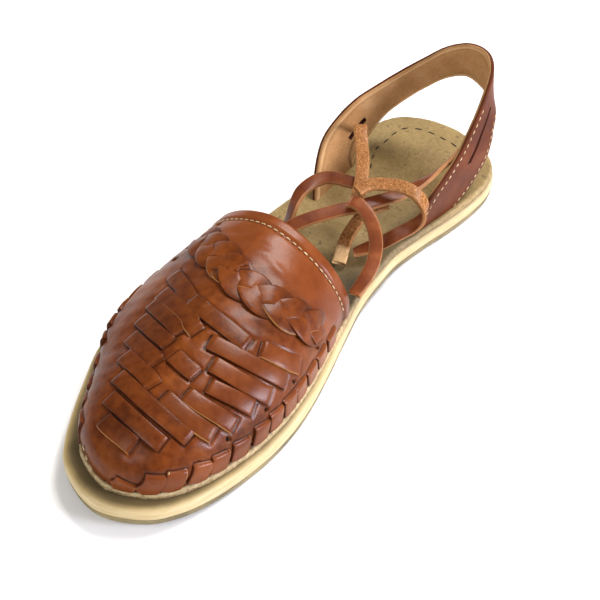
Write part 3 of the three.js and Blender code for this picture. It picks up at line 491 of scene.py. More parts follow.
def section_point(y, turn):
    """A point of the form over the feather line. turn runs from 0 at the outer side to 1 at the inner."""
    y, turn = np.broadcast_arrays(np.asarray(y, float), np.asarray(turn, float))
    root = np.sqrt(np.clip((y - TIP_Y) / FORM_LENGTH, 0, 1.2))
    value = lambda column: table_value(FORM_ROOTS, FORM_COLUMNS, column, root)
    outer, inner = edge_x("outer", y, FEATHER_STEP), edge_x("inner", y, FEATHER_STEP)
    ridge = outer + (inner - outer) * value("crest")
    height = INSTEP_HEIGHT * value("height")
    is_outer = turn < 0.5
    wall = INSTEP_HEIGHT * np.where(is_outer, value("wall_outer"), value("wall_inner"))
    edge = np.where(is_outer, outer, inner)
    power = np.where(is_outer, value("full_outer"), value("full_inner"))
    rise = np.where(is_outer, turn, 1 - turn)
    angle = np.clip((rise - WALL_TURN) / (0.5 - WALL_TURN), 0, 1) * math.pi / 2
    reach = np.cos(angle).clip(0) ** (2 / power)
    lift = np.sin(angle) ** (2 / power)
    low = rise < WALL_TURN
    x = np.where(low, edge, ridge + (edge - ridge) * reach)
    z = np.where(low, wall * rise / WALL_TURN, wall + (height - wall) * lift)
    return np.stack([x, y, z], axis=-1)


def form_point(along, turn):
    """A point of the toe form's skin by its share of the length and its turn."""
    along, turn = np.broadcast_arrays(np.asarray(along, float), np.asarray(turn, float))
    end = THROAT_Y - THROAT_LEAN * section_point(np.full(turn.shape, THROAT_Y), turn)[..., 2]
    point = section_point(TIP_Y + (end - TIP_Y) * along, turn)
    point[..., 2] += UPPER_BASE + ground_lift(point[..., 1])
    return point


def form_skin(along, turn):
    """Points of the skin with their outward normals."""
    step = 0.006
    before, after = np.clip(along - step, 0.0005, 1.05), np.clip(along + step, 0, 1.05)
    run = form_point(after, turn) - form_point(before, turn)
    across = form_point(along, np.clip(turn + step, 0, 1)) - form_point(along, np.clip(turn - step, 0, 1))
    return form_point(along, turn), unit(np.cross(across, run))


# Meshes


def signed_volume(points, faces):
    total = 0.0
    for face in faces:
        first = points[face[0]]
        for second, third in zip(face[1:-1], face[2:]):
            total += np.dot(first, np.cross(points[second], points[third]))
    return total


def grid_faces(rows, columns, start=0, closed=False):
    faces = []
    for row in range(rows - 1):
        for column in range(columns if closed else columns - 1):
            after = (column + 1) % columns
            low, high = start + row * columns, start + (row + 1) * columns
            faces.append((low + column, low + after, high + after, high + column))
    return faces


def tube_faces(rows, columns):
    """Faces of a tube of closed rings with both ends shut."""
    ends = [tuple(range(columns)), tuple(reversed(range((rows - 1) * columns, rows * columns)))]
    return grid_faces(rows, columns, closed=True) + ends


class Build:
    """Points, faces and point values gathered for one mesh."""

    def __init__(self):
        self.points, self.faces, self.values = [], [], {}

    def add(self, points, faces, orient=True, **values):
        start = len(self.points)
        points = np.asarray(points, float)
        if orient and signed_volume(points, faces) < 0:
            faces = [tuple(reversed(face)) for face in faces]
        self.points.extend(points)
        self.faces.extend(tuple(start + corner for corner in face) for face in faces)
        for name in set(self.values) | set(values):
            kept = self.values.setdefault(name, [0.0] * start)
            kept.extend(np.broadcast_to(np.asarray(values.get(name, 0.0), float), (len(points),)))

    def piece(self, name, leather):
        mesh = bpy.data.meshes.new(name)
        points = (np.asarray(self.points) + (SHIFT_X, 0, 0)) * MM
        mesh.from_pydata(points.tolist(), [], self.faces)
        mesh.materials.append(leather)
        mesh.polygons.foreach_set("use_smooth", [True] * len(self.faces))
        for key, values in self.values.items():
            layer = mesh.attributes.new(key, "FLOAT", "POINT")
            layer.data.foreach_set("value", np.asarray(values, float))
        mesh.validate()
        mesh.update()
        made = bpy.data.objects.new(name, mesh)
        bpy.context.scene.collection.objects.link(made)
        return made


OUTLINE_X = np.concatenate([line[:, 0] for line, _ in OUTLINE_SIDES.values()])
SHIFT_X = -(OUTLINE_X.max() + OUTLINE_X.min()) / 2


def strap_profile(width, top, bottom, radius, crown=0.0):
    """A closed section of a leather strap: offset across, height, rim value and flesh value."""
    half = width / 2
    flat = half - radius
    across = np.linspace(-flat, flat, 7)
    section = [(shift, top + crown * (1 - (shift / half) ** 2), 0, 0) for shift in across]
    bends = np.radians((35, 65, 90))
    levels = {top: (-1, 0), bottom: (1, 1)}
    for sign, first, second in ((1, top, bottom), (-1, bottom, top)):
        for level, angles in ((first, bends), (second, bends[::-1])):
            inward, flesh = levels[level]
            for angle in angles:
                height = level + inward * radius * (1 - math.cos(angle))
                section.append((sign * (flat + radius * math.sin(angle)), height, 1, flesh))
        if sign > 0:
            section += [(shift, bottom, 0, 1) for shift in np.linspace(flat, -flat, 3)]
    return np.asarray(section, float)


def sweep(build, centre, side, normal, profile, tone=1.0, raw=0.0, end_raw=0.0, light=0.0, base=None):
    """Adds a strap swept along a path, closed at both ends, with its rim, flesh and tone values."""
    rings = (
        centre[:, None]
        + side[:, None] * profile[None, :, 0][..., None]
        + normal[:, None] * profile[None, :, 1][..., None]
    )
    if base is not None:
        rings[..., 2] = np.maximum(rings[..., 2], base + ground_lift(rings[..., 1]))
    rows, columns = rings.shape[:2]
    faces = tube_faces(rows, columns)
    rim = np.tile(profile[:, 2], rows)
    flesh = np.tile(profile[:, 3], rows)
    bare = np.tile(profile[:, 2] * (profile[:, 0] > 0) * raw, rows)
    if np.ndim(end_raw):
        bare = np.repeat(np.asarray(end_raw, float), columns)
    tones = np.repeat(np.broadcast_to(np.asarray(tone, float), (rows,)), columns)
    # light fills the throat value, which lays painted light on the leather.
    build.add(rings.reshape(-1, 3), faces, rim=rim, flesh=flesh, tone=tones, raw=bare, throat=light, seam=4.0)


def lay_strip(build, along, turn, width, relief, ends=(True, True), tone=1.0, crown=0.18, raw=0.0, light=0.0):
    """A leather strip laid on the toe form, whose ends dive into the skin."""
    centre, normal = form_skin(along, turn)
    side = unit(np.cross(np.gradient(centre, axis=0), normal))
    length = run_length(centre)
    near = np.where(ends[0], smooth_step(0, STRIP_DIVE, length), 1.0)
    far = np.where(ends[1], smooth_step(0, STRIP_DIVE, length[-1] - length), 1.0)
    sink = (1 - near * far) * (relief + STRIP_SINK)
    centre = centre - normal * sink[:, None]
    profile = strap_profile(width, relief, -STRIP_ROOT, STRIP_ROUNDING, crown)
    # Painted shade: the strip darkens toward the ends that dive into the skin.
    tones = tone * (0.6 + 0.4 * near * far)
    sweep(build, centre, side, normal, profile, tone=tones, raw=raw, light=light, base=UPPER_BASE)


# Materials

RAMP, MIX, MATH, BUMP = "ShaderNodeValToRGB", "ShaderNodeMix", "ShaderNodeMath", "ShaderNodeBump"
ATTRIBUTE, MAP_RANGE = "ShaderNodeAttribute", "ShaderNodeMapRange"


def set_inputs(tree, node, inputs):
    """Gives inputs of a node a link from a socket, a colour from its hex code or a plain value."""
    for key, value in inputs.items():
        if isinstance(value, bpy.types.NodeSocket):
            tree.links.new(value, node.inputs[key])
        else:
            node.inputs[key].default_value = srgb(value) if isinstance(value, str) else value


def add_node(tree, kind, inputs=None, output=0, stops=(), **values):
    """Adds one node with its settings, colour stops and inputs. Gives one output, or the node for None."""
    node = tree.nodes.new(kind)
    for key, value in values.items():
        setattr(node, key, value)
    if stops:
        elements = node.color_ramp.elements
        while len(elements) < len(stops):
            elements.new(0.5)
        for element, (place, colour) in zip(elements, stops):
            element.position = place
            element.color = srgb(colour) if isinstance(colour, str) else colour
    set_inputs(tree, node, inputs or {})
    return node if output is None else node.outputs[output]


def start_material(name):
    """A fresh material with its tree, its shader and places on the object."""
    material = bpy.data.materials.new(name)
    material.use_nodes = True
    tree = material.node_tree
    tree.nodes.clear()
    shader = add_node(tree, "ShaderNodeBsdfPrincipled", output=None)
    add_node(tree, "ShaderNodeOutputMaterial", {"Surface": shader.outputs[0]}, None)
    return material, tree, shader, add_node(tree, "ShaderNodeTexCoord", output="Object")


def pattern(tree, place, size_mm, detail=3.0, roughness=0.55, stretch=(1, 1, 1)):
    """Clouds with features of a real size in millimetres, finer along an axis with a larger stretch."""
    spread = add_node(tree, "ShaderNodeMapping", {"Vector": place, "Scale": stretch})
    inputs = {"Vector": spread, "Scale": 1 / (size_mm * MM), "Detail": detail, "Roughness": roughness}
    return add_node(tree, "ShaderNodeTexNoise", inputs, "Fac")


def lay(tree, base, colour, mask, share=1.0, low=False):
    """Lays a colour over the base by a number, a socket or a value of the mesh, or where it is low."""
    if isinstance(mask, str):
        mask = add_node(tree, ATTRIBUTE, output="Fac", attribute_name=mask)
    if low:
        mask = add_node(tree, MATH, {0: 1.0, 1: mask}, operation="SUBTRACT", use_clamp=True)
    if share < 1:
        mask = add_node(tree, MATH, {0: mask, 1: share}, operation="MULTIPLY")
    return add_node(tree, MIX, {0: mask, 6: base, 7: colour}, 2, data_type="RGBA", clamp_factor=True)


def full_grain_leather():
    """Vegetable-tanned cowhide, dyed cognac by hand and waxed: mottled, glossy, with painted light on the
    throat and the inner side and painted shade near black beside and along the strips.
    """
    material, tree, shader, place = start_material("full_grain_cowhide")
    cloud = pattern(tree, place, 24, 4)
    mottle = pattern(tree, place, 3.4, 4)
    dye = tuple(settings().upper_dye)
    base = add_node(tree, RAMP, {"Fac": cloud}, stops=((0.32, "#4e2107"), (0.5, dye), (0.68, "#7c3e12")))
    spots = add_node(tree, RAMP, {"Fac": mottle}, stops=((0.35, "#3c1805"), (0.62, "#7a4016")))
    base = lay(tree, base, spots, 0.35)
    # Painted light: the throat value lays this lighter colour on the throat band with its lip and lining, and
    # on the strips of the inner side that face the lamps.
    lit_colour = add_node(tree, RAMP, {"Fac": cloud}, stops=((0.35, "#6b3212"), (0.65, "#86471f")))
    base = lay(tree, base, lit_colour, "throat", 0.85)
    # Low tone darkens the leather: partly its own random tone, partly painted shade where strips dive under,
    # in the gaps of the weave, where braid strands pass under and in the stitch groove, and darker towards
    # the bottom of the side walls.
    base = lay(tree, base, "#180904", "tone", 0.95, low=True)
    # Painted shade: the rounded sides of the strips are darkened, as they face into the gaps between them.
    base = lay(tree, base, "#2c1006", "rim", 0.6)
    base = lay(tree, base, "#b07a45", "raw")
    # Painted shade: the seam value is the gap to the nearest strip, and the skin right beside the strips is
    # darkened near black by it.
    seam = add_node(tree, ATTRIBUTE, output="Fac", attribute_name="seam")
    reach = {"Value": seam, "From Min": 0.05, "From Max": 0.4, "To Min": 0.85, "To Max": 0.0}
    base = lay(tree, base, "#240d04", add_node(tree, MAP_RANGE, reach))
    rough = add_node(tree, MAP_RANGE, {"Value": mottle, "To Min": 0.24, "To Max": 0.46})
    pores = add_node(tree, "ShaderNodeTexVoronoi", {"Vector": place, "Scale": 1 / (0.9 * MM)}, "Distance")
    low = add_node(tree, BUMP, {"Height": pores, "Strength": 0.2, "Distance": 0.1 * MM})
    folds = {"Height": pattern(tree, place, 6, 4), "Strength": 0.5, "Distance": 0.6 * MM, "Normal": low}
    set_inputs(tree, shader, {"Base Color": base, "Roughness": rough, "Normal": add_node(tree, BUMP, folds)})
    set_inputs(tree, shader, {"Coat Weight": 0.17, "Coat Roughness": 0.24, "Specular IOR Level": 0.1})
    return material


def strap_leather():
    """The same hide sewn double: red-brown grain outside, tan flesh inside with fine fibres."""
    material, tree, shader, place = start_material("sewn_strap_leather")
    cloud = pattern(tree, place, 16, 4)
    fibre = pattern(tree, place, 0.9, 5, 0.7)
    side = add_node(tree, ATTRIBUTE, output="Fac", attribute_name="flesh")
    red = ((0.3, "#4a200e"), (0.55, "#602d14"), (0.75, "#764022"))
    tan = ((0.3, "#9c7148"), (0.5, "#b78b5c"), (0.72, "#cfa677"))
    grain = add_node(tree, RAMP, {"Fac": cloud}, stops=red)
    flesh = add_node(tree, RAMP, {"Fac": cloud}, stops=tan)
    hairs = add_node(tree, RAMP, {"Fac": fibre}, stops=((0.35, "#704722"), (0.7, "#c89c66")))
    base = lay(tree, grain, lay(tree, flesh, hairs, 0.3), side)
    base = lay(tree, base, "#4a2412", "rim", 0.6)
    base = lay(tree, base, "#d6ae7c", "raw")
    # Low tone darkens the strap: at the notch between its layers and beside the stitch rows, and as painted
    # shade of the far band's fold and inside the slits.
    base = lay(tree, base, "#3a1a0c", "tone", 0.85, low=True)
    rough = add_node(tree, MATH, {0: side, 1: 0.35, 2: 0.48}, operation="MULTIPLY_ADD")
    low = add_node(tree, BUMP, {"Height": fibre, "Strength": 0.25, "Distance": 0.25 * MM})
    folds = {"Height": pattern(tree, place, 6, 4), "Strength": 0.4, "Distance": 0.5 * MM, "Normal": low}
    set_inputs(tree, shader, {"Base Color": base, "Roughness": rough, "Normal": add_node(tree, BUMP, folds)})
    set_inputs(tree, shader, {"Specular IOR Level": 0.1})
    return material


def thong_leather():
    """Split thong cut from side leather: smooth rosy grain on one face, speckled flesh on the other."""
    material, tree, shader, place = start_material("split_thong_leather")
    cloud = pattern(tree, place, 9, 4)
    speck = pattern(tree, place, 0.8, 6, 0.75)
    side = add_node(tree, ATTRIBUTE, output="Fac", attribute_name="flesh")
    rosy = ((0.3, "#5a2811"), (0.55, "#733a1c"), (0.75, "#8c502c"))
    speckled = ((0.36, "#6b401e"), (0.5, "#966237"), (0.66, "#bf8b57"))
    grain = add_node(tree, RAMP, {"Fac": cloud}, stops=rosy)
    flesh = add_node(tree, RAMP, {"Fac": speck}, stops=speckled)
    base = lay(tree, grain, flesh, side)
    base = lay(tree, base, "#a87848", "rim", 0.5)
    base = lay(tree, base, "#e0b680", "raw")
    # Low tone lays painted shade on the thong of the outer side.
    base = lay(tree, base, "#3c1c10", "tone", 0.8, low=True)
    rough = add_node(tree, MATH, {0: side, 1: 0.45, 2: 0.42}, operation="MULTIPLY_ADD")
    fibres = add_node(tree, MATH, {0: speck, 1: side}, operation="MULTIPLY")
    low = add_node(tree, BUMP, {"Height": fibres, "Strength": 0.8, "Distance": 0.5 * MM})
    folds = {"Height": pattern(tree, place, 4, 3), "Strength": 0.25, "Distance": 0.4 * MM, "Normal": low}
    set_inputs(tree, shader, {"Base Color": base, "Roughness": rough, "Normal": add_node(tree, BUMP, folds)})
    set_inputs(tree, shader, {"Coat Weight": 0.2, "Coat Roughness": 0.28, "Specular IOR Level": 0.1})
    return material


def insole_leather():
    """Worn bottom leather: olive tan, specked, darker at the inner waist, and darkened toward the front by
    painted shadow of the toe.
    """
    material, tree, shader, place = start_material("worn_insole_leather")
    cloud = pattern(tree, place, 26, 5)
    fine = pattern(tree, place, 1.6, 5, 0.65)
    base = add_node(tree, RAMP, {"Fac": cloud}, stops=((0.3, "#6f582c"), (0.5, "#88703d"), (0.7, "#9b824e")))
    pores = add_node(tree, RAMP, {"Fac": fine}, stops=((0.35, "#664f2b"), (0.65, "#b09668")))
    base = lay(tree, base, pores, 0.25)
    specks = pattern(tree, place, 2.2, 2, 0.5)
    spots = add_node(tree, RAMP, {"Fac": specks}, stops=((0.64, "#000000"), (0.7, "#ffffff")))
    base = lay(tree, base, "#45341a", spots, 0.6)
    # The darkening value lays the painted shadow of the toe and the darker inner waist.
    base = lay(tree, base, "#3c3424", "dirt", 0.8)
    frayed = add_node(tree, RAMP, {"Fac": fine}, stops=((0.3, "#86693f"), (0.7, "#d8c499")))
    base = lay(tree, base, frayed, "pale")
    low = add_node(tree, BUMP, {"Height": fine, "Strength": 0.35, "Distance": 0.3 * MM})
    dents = {"Height": cloud, "Strength": 0.3, "Distance": 0.8 * MM, "Normal": low}
    set_inputs(tree, shader, {"Base Color": base, "Roughness": 0.72, "Normal": add_node(tree, BUMP, dents)})
    return material


def sole_edge_leather():
    """Cut and sanded edge of bottom leather: cream, faintly layered, scuffed where it meets the floor, and
    darker on the flange beside the upper, partly grime and partly painted shade.
    """
    material, tree, shader, place = start_material("sanded_sole_edge")
    layers = pattern(tree, place, 7, 4, 0.6, stretch=(0.5, 0.5, 4.0))
    cloud = pattern(tree, place, 14, 3)
    base = add_node(tree, RAMP, {"Fac": layers}, stops=((0.3, "#bda672"), (0.5, "#cbb687"), (0.7, "#d6c69b")))
    base = lay(tree, base, "#c9ab74", cloud, 0.25)
    flange = add_node(tree, RAMP, {"Fac": cloud}, stops=((0.35, "#96804f"), (0.65, "#b79d68")))
    base = lay(tree, base, flange, "top")
    # The darkening value lays the floor scuff, the trodden grime toward the heel, and on the flange beside
    # the upper grime together with painted shade of the upper.
    base = lay(tree, base, "#2b2316", "dirt", 0.75)
    high = add_node(tree, BUMP, {"Height": layers, "Strength": 0.3, "Distance": 0.3 * MM})
    set_inputs(tree, shader, {"Base Color": base, "Roughness": 0.55, "Normal": high})
    return material


def outsole_leather():
    """Hard bottom leather, grey-olive from the ground."""
    material, tree, shader, place = start_material("ground_outsole_leather")
    cloud = pattern(tree, place, 12, 4)
    base = add_node(tree, RAMP, {"Fac": cloud}, stops=((0.35, "#6d6245"), (0.65, "#94865f")))
    grit = {"Height": pattern(tree, place, 1.2, 4), "Strength": 0.4, "Distance": 0.3 * MM}
    set_inputs(tree, shader, {"Base Color": base, "Roughness": 0.8, "Normal": add_node(tree, BUMP, grit)})
    return material


def waxed_thread():
    """Waxed cream thread, a little dirty."""
    material, tree, shader, place = start_material("waxed_cream_thread")
    fibre = pattern(tree, place, 1.5, 3)
    clean = tuple(settings().thread_colour)
    base = add_node(tree, RAMP, {"Fac": fibre}, stops=((0.35, "#a38458"), (0.65, clean)))
    twist = {"Height": pattern(tree, place, 0.5, 3), "Strength": 0.4, "Distance": 0.15 * MM}
    set_inputs(tree, shader, {"Base Color": base, "Roughness": 0.6, "Normal": add_node(tree, BUMP, twist)})
    return material


def dark_hole():
    """Dirt-blackened thread of the insole, trodden flat."""
    material, tree, shader, place = start_material("dirt_in_holes")
    dirt = pattern(tree, place, 2, 3)
    base = add_node(tree, RAMP, {"Fac": dirt}, stops=((0.4, "#1d130b"), (0.6, "#33241a")))
    set_inputs(tree, shader, {"Base Color": base, "Roughness": 0.9})
    return material


MATERIALS = {}
MAKERS = {
    "upper": full_grain_leather,
    "strap": strap_leather,
    "thong": thong_leather,
    "insole": insole_leather,
    "edge": sole_edge_leather,
    "outsole": outsole_leather,
    "thread": waxed_thread,
    "hole": dark_hole,
}


def material(name):
    if name not in MATERIALS:
        MATERIALS[name] = MAKERS[name]()
    return MATERIALS[name]


# Sole


def slab(rings, flange, values):
    """A slab of the sole from rings of inset and height, with a top that fills in toward the middle."""
    build = Build()
    steps = 180
    share = 0.5 - 0.5 * np.cos(np.linspace(0, math.pi, steps + 1))
    place = (0.5 * np.linspace(0, 1, steps + 1) + 0.5 * share) * 400
    rows = []
    for inset, height in rings:
        loop = []
        for side in ("inner", "outer"):
            line = outline_side(side, inset, flange)
            flat = np.stack([np.interp(place, np.arange(401), line[:, axis]) for axis in (0, 1)], axis=1)
            loop.append(flat if side == "inner" else flat[::-1][1:-1])
        flat = np.vstack(loop)
        rows.append(np.column_stack([flat, ground_lift(flat[:, 1]) + height]))
    columns = len(rows[0])
    points = np.vstack(rows)
    faces = grid_faces(len(rows), columns, closed=True)
    for start, flip in ((0, True), ((len(rows) - 1) * columns, False)):
        for step in range(steps):
            inner, inner_next = start + step, start + step + 1
            outer = start + (columns - step) % columns
            outer_next = start + (columns - step - 1) % columns
            face = tuple(dict.fromkeys((inner, inner_next, outer_next, outer)))
            faces.append(tuple(reversed(face)) if flip else face)
    spread = {name: np.repeat(level, columns) for name, level in values.items()}
    build.add(points, faces, **spread)
    return build


class SANDAL_OT_sole(Operator):
    """Builds the outsole and the midsole with their rounded and sanded edges."""

    bl_idname = "sandal.sole"
    bl_label = "Sole"

    def execute(self, context):
        rings = ((0.9, 0), (0.45, 0.25), (0.3, 0.7), (0.3, 2.3), (0.45, OUTSOLE_THICKNESS))
        outsole = slab(rings, 0, {}).piece("outsole_leather", material("outsole"))
        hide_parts("outsole")
        top = MIDSOLE_BASE + MIDSOLE_THICKNESS
        rings = (
            (0.4, MIDSOLE_BASE),
            (0.05, MIDSOLE_BASE + 0.35),
            (0, MIDSOLE_BASE + 0.9),
            (0, top - RIM_ROUNDING),
            (0.12 * RIM_ROUNDING, top - 0.55 * RIM_ROUNDING),
            (0.42 * RIM_ROUNDING, top - 0.2 * RIM_ROUNDING),
            (RIM_ROUNDING, top),
            (RIM_ROUNDING + 1.5, top),
            (RIM_ROUNDING + 4, top),
        )
        # Darkening: scuff at the floor, and on the flange next to the upper grime together with painted shade
        # of the upper.
        midsole = slab(
            rings,
            0,
            {"dirt": (0.6, 0.2, 0, 0, 0, 0.08, 0.3, 0.8, 1), "top": (0, 0, 0, 0, 0.1, 0.5, 1, 1, 1)},
        )
        y = np.asarray(midsole.points)[:, 1]
        level = np.repeat(np.arange(len(rings)), len(y) // len(rings))
        trodden = 0.35 * smooth_step(20, 80, y) * (level >= 4)
        midsole.values["dirt"] = list(np.clip(np.asarray(midsole.values["dirt"]) + trodden, 0, 1))
        midsole = midsole.piece("midsole_leather", material("edge"))
        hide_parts("midsole")
        for piece in (outsole, midsole):
            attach(piece, "root")
        return {"FINISHED"}


class SANDAL_OT_insole(Operator):
    """Builds the insole with its trodden, dished top and frayed edge."""

    bl_idname = "sandal.insole"
    bl_label = "Insole"

    def execute(self, context):
        rings = [(0, INSOLE_BASE), (0, INSOLE_TOP - 0.9), (0.15, INSOLE_TOP - 0.35), (0.6, INSOLE_TOP)]
        dishes = ((1.6, 0.02), (3.5, 0.05), (7, 0.12), (12, 0.22))
        rings += [(inset, INSOLE_TOP - dish) for inset, dish in dishes]
        build = slab(rings, 1, {})
        points = np.asarray(build.points)
        level = np.repeat(np.arange(len(rings)), len(points) // len(rings))
        rng = np.random.default_rng(SEED)
        fray = 0.16 * rng.standard_normal(len(points)) * (level < 4)
        centre = points[:, :2].mean(axis=0)
        away = unit(points[:, :2] - centre)
        points[:, :2] += away * np.minimum(fray, 0)[:, None]
        build.points = list(points)
        y = points[:, 1]
        # Painted shadow: the top darkens toward the front, under the toe. The inner waist is darkened as
        # well.
        under = smooth_step(34, -2, y)
        waist = smooth_step(6, 22, points[:, 0]) * smooth_step(-6, 12, y) * smooth_step(84, 50, y)
        build.values["dirt"] = list(np.clip(0.85 * under * (level >= 4) + 0.75 * waist, 0, 1))
        front = smooth_step(14, -2, y)
        build.values["pale"] = list(np.where(level < 4, 0.25 + 0.6 * front, 0.2 * front * (level == 4)))
        insole = build.piece("insole_leather", material("insole"))
        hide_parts("insole")
        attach(insole, "root")
        return {"FINISHED"}


# Upper


def bar_path(row, count=26):
    outer_along, outer_turn, inner_along, inner_turn, bow = row
    share = np.linspace(0, 1, count)
    along = outer_along + (inner_along - outer_along) * share - bow * 4 * share * (1 - share)
    return along, outer_turn + (inner_turn - outer_turn) * share


def wrap_path(row, side, count=16):
    foot, top, rise = row
    share = np.linspace(0, 1, count)
    turn = 1 - rise * share if side == "inner" else rise * share
    return foot + (top - foot) * share, turn


def strip_gap(along, turn):
    """Distance in millimetres from each place of the form to the nearest strip, negative under it."""
    points = form_point(along, turn).reshape(-1, 3)
    closest = np.full(len(points), 4.0)
    paths = [(bar_path(row, 12), STRIP_WIDTH) for row in BARS]
    paths += [(wrap_path(row, "inner", 8), WRAP_WIDTH) for row in WRAPS]
    paths += [(wrap_path(row, "outer", 8), WRAP_WIDTH) for row in WRAPS[OUTER_WRAP_START:]]
    for (path_along, path_turn), width in paths:
        line, normal = form_skin(path_along, path_turn)
        run = unit(np.gradient(line, axis=0))
        side = np.cross(run, normal)
        reach = width / 2 + 6
        low, high = line.min(axis=0) - reach, line.max(axis=0) + reach
        chosen = np.nonzero(np.all((points > low) & (points < high), axis=1))[0]
        apart = points[chosen, None] - line
        nearest = np.argmin((apart**2).sum(axis=-1), axis=1)
        apart = apart[np.arange(len(chosen)), nearest]
        aside = np.abs((apart * side[nearest]).sum(axis=-1)) - width / 2
        ahead = (apart * run[nearest]).sum(axis=-1)
        before = np.where(nearest == 0, -ahead, -9)
        after = np.where(nearest == len(line) - 1, ahead, -9)
        gap = np.maximum(aside, np.maximum(before, after))
        closest[chosen] = np.minimum(closest[chosen], gap)
    return np.maximum(closest, -2).reshape(along.shape)


# Gaps of the weave, sunk into the skin and darkened inside as painted shade: place along, turn, and half
# sizes in millimetres.
GAPS = (
    (0.94, 0.252, 2.4, 1.1),
    (0.895, 0.217, 2.2, 1.1),
    (0.828, 0.213, 2.2, 1.1),
    (0.765, 0.205, 2, 1),
    (0.185, 0.866, 1.5, 1.1),
    (0.3, 0.835, 1.2, 0.9),
    (0.46, 0.85, 1.2, 0.8),
    (0.6, 0.865, 1.3, 0.8),
)


def gap_share(along, turn):
    """How far each place lies inside a gap of the weave, from 0 outside to 1 in the middle."""
    points = form_point(along, turn)
    inside = np.zeros(along.shape)
    for place, around, long, short in GAPS:
        centre, _ = form_skin(np.array([place]), np.array([around]))
        apart = points - centre[0]
        run = unit(form_point(place, around + 0.02) - form_point(place, around - 0.02))
        ahead = apart @ run
        aside = np.sqrt(np.maximum((apart**2).sum(axis=-1) - ahead**2, 0))
        hole_share = np.sqrt((ahead / long) ** 2 + (aside / short) ** 2)
        inside = np.maximum(inside, 1 - smooth_step(0.6, 1.1, hole_share))
    return inside


# The lining of the toe has one row of faces for this many rows of the skin.
INNER_ROW_STEP = 4

# Soft creases of the skin: place along, turn, length and heading in degrees, depth in millimetres.
CREASES = (
    (0.88, 0.52, 16, 8, -0.35),
    (0.84, 0.62, 14, -14, 0.3),
    (0.9, 0.4, 12, 4, -0.25),
    (0.8, 0.7, 10, -24, -0.3),
    (0.5, 0.54, 14, 30, 0.35),
    (0.45, 0.5, 12, -20, 0.4),
    (0.06, 0.45, 12, 10, -0.35),
    (0.05, 0.6, 10, -12, 0.3),
)


def skin_relief(along, turn):
    """Height of the hand-worked skin over the smooth form."""
    points = form_point(along, turn)
    x, y, z = points[..., 0], points[..., 1], points[..., 2]
    relief = 0.14 * np.sin(x / 5.1 + y / 7.3) * np.sin(y / 4.7 - x / 8.9 + 1.1)
    relief += 0.1 * np.sin(x / 2.3 - y / 3.1) * np.sin(y / 2.6 + z / 4.1)
    for place, around, length, heading, depth in CREASES:
        centre = form_point(place, around)
        run = np.array([math.cos(math.radians(heading)), math.sin(math.radians(heading))])
        flat = points[..., :2] - centre[:2]
        ahead = flat @ run
        aside = flat @ np.array([-run[1], run[0]])
        relief += depth * np.exp(-((ahead / (length / 2)) ** 2) - (aside / 1.8) ** 2)
    return relief


class SANDAL_OT_vamp(Operator):
    """Builds the hollow skin of the toe with its turned throat edge and hand-made creases."""

    bl_idname = "sandal.vamp"
    bl_label = "Vamp"

    def execute(self, context):
        rows, columns = settings().vamp_rows, settings().vamp_columns
        even = np.linspace(0, 1, rows)
        shares = 0.45 * even + 0.55 * (1 - np.cos(even * math.pi / 2))
        shares[0] = 0.0004
        turn = np.linspace(0, 1, columns)
        along_grid, turn_grid = np.meshgrid(shares, turn, indexing="ij")
        point, normal = form_skin(along_grid, turn_grid)
        edge_start = 1 - EDGE_WIDTH / FORM_LENGTH
        gap = strip_gap(along_grid, turn_grid)
        hole = gap_share(along_grid, turn_grid)
        calm = smooth_step(0.01, 0.04, along_grid)
        groove = GROOVE_DEPTH * np.exp(-((np.maximum(gap, 0) / GROOVE_REACH) ** 2))
        relief = (skin_relief(along_grid, turn_grid) - groove) * calm - HOLE_DEPTH * hole
        stitch_line = edge_start - 0.004
        relief += EDGE_ROLL * smooth_step(stitch_line, edge_start + 0.008, along_grid)
        relief -= STITCH_SINK * np.exp(-(((along_grid - stitch_line) * FORM_LENGTH / GROOVE_REACH) ** 2))
        outer = point + normal * relief[..., None]
        lip = []
        for angle in np.radians((40, 90, 140)):
            past = form_point(1 + 0.006 * math.sin(angle), turn)
            lip.append(past + normal[-1] * (EDGE_ROLL - (EDGE_ROLL + VAMP_WALL) / 2 * (1 - math.cos(angle))))
        kept = np.arange(rows - 1, -1, -INNER_ROW_STEP)
        inner = (point - normal * VAMP_WALL)[kept]
        sheet = np.concatenate([outer, np.asarray(lip), inner])
        total = len(sheet)
        faces = grid_faces(total, columns)
        first = rows + len(lip)
        for step in range(len(kept) - 1):
            high, low = int(kept[step]), int(kept[step + 1])
            for column in (0, columns - 1):
                ring = [row * columns + column for row in range(low, high + 1)]
                ring += [(first + step) * columns + column, (first + step + 1) * columns + column]
                faces.append(tuple(ring) if column == 0 else tuple(reversed(ring)))
        tone = np.ones((total, columns))
        # A dark line of painted shade along the stitch groove of the throat, and the side walls darker
        # towards the bottom.
        tone[:rows] -= 0.2 * np.exp(-(((along_grid - stitch_line) * FORM_LENGTH / 0.6) ** 2))
        tone[:rows] -= 0.3 * smooth_step(0.14, 0.02, np.minimum(turn_grid, 1 - turn_grid))
        # Painted shade: the skin in the gaps of the weave is darkened.
        tone[:rows] = np.minimum(tone[:rows], 1 - hole)
        # Painted light: the throat band at the top, its lip and the lining take the lighter lit colour.
        throat = np.full((total, columns), 0.6)
        throat[:rows] = smooth_step(0.79, 0.84, along_grid)
        # The gap to the strips feeds the painted shade beside them; the lip and lining get none.
        seam = np.full((total, columns), 4.0)
        seam[:rows] = gap
        build = Build()
        values = {"tone": tone.ravel(), "throat": throat.ravel(), "seam": seam.ravel()}
        build.add(sheet.reshape(-1, 3), faces, **values)
        vamp = build.piece("vamp_skin", material("upper"))
        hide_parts("vamp")
        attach(vamp, "root")
        return {"FINISHED"}


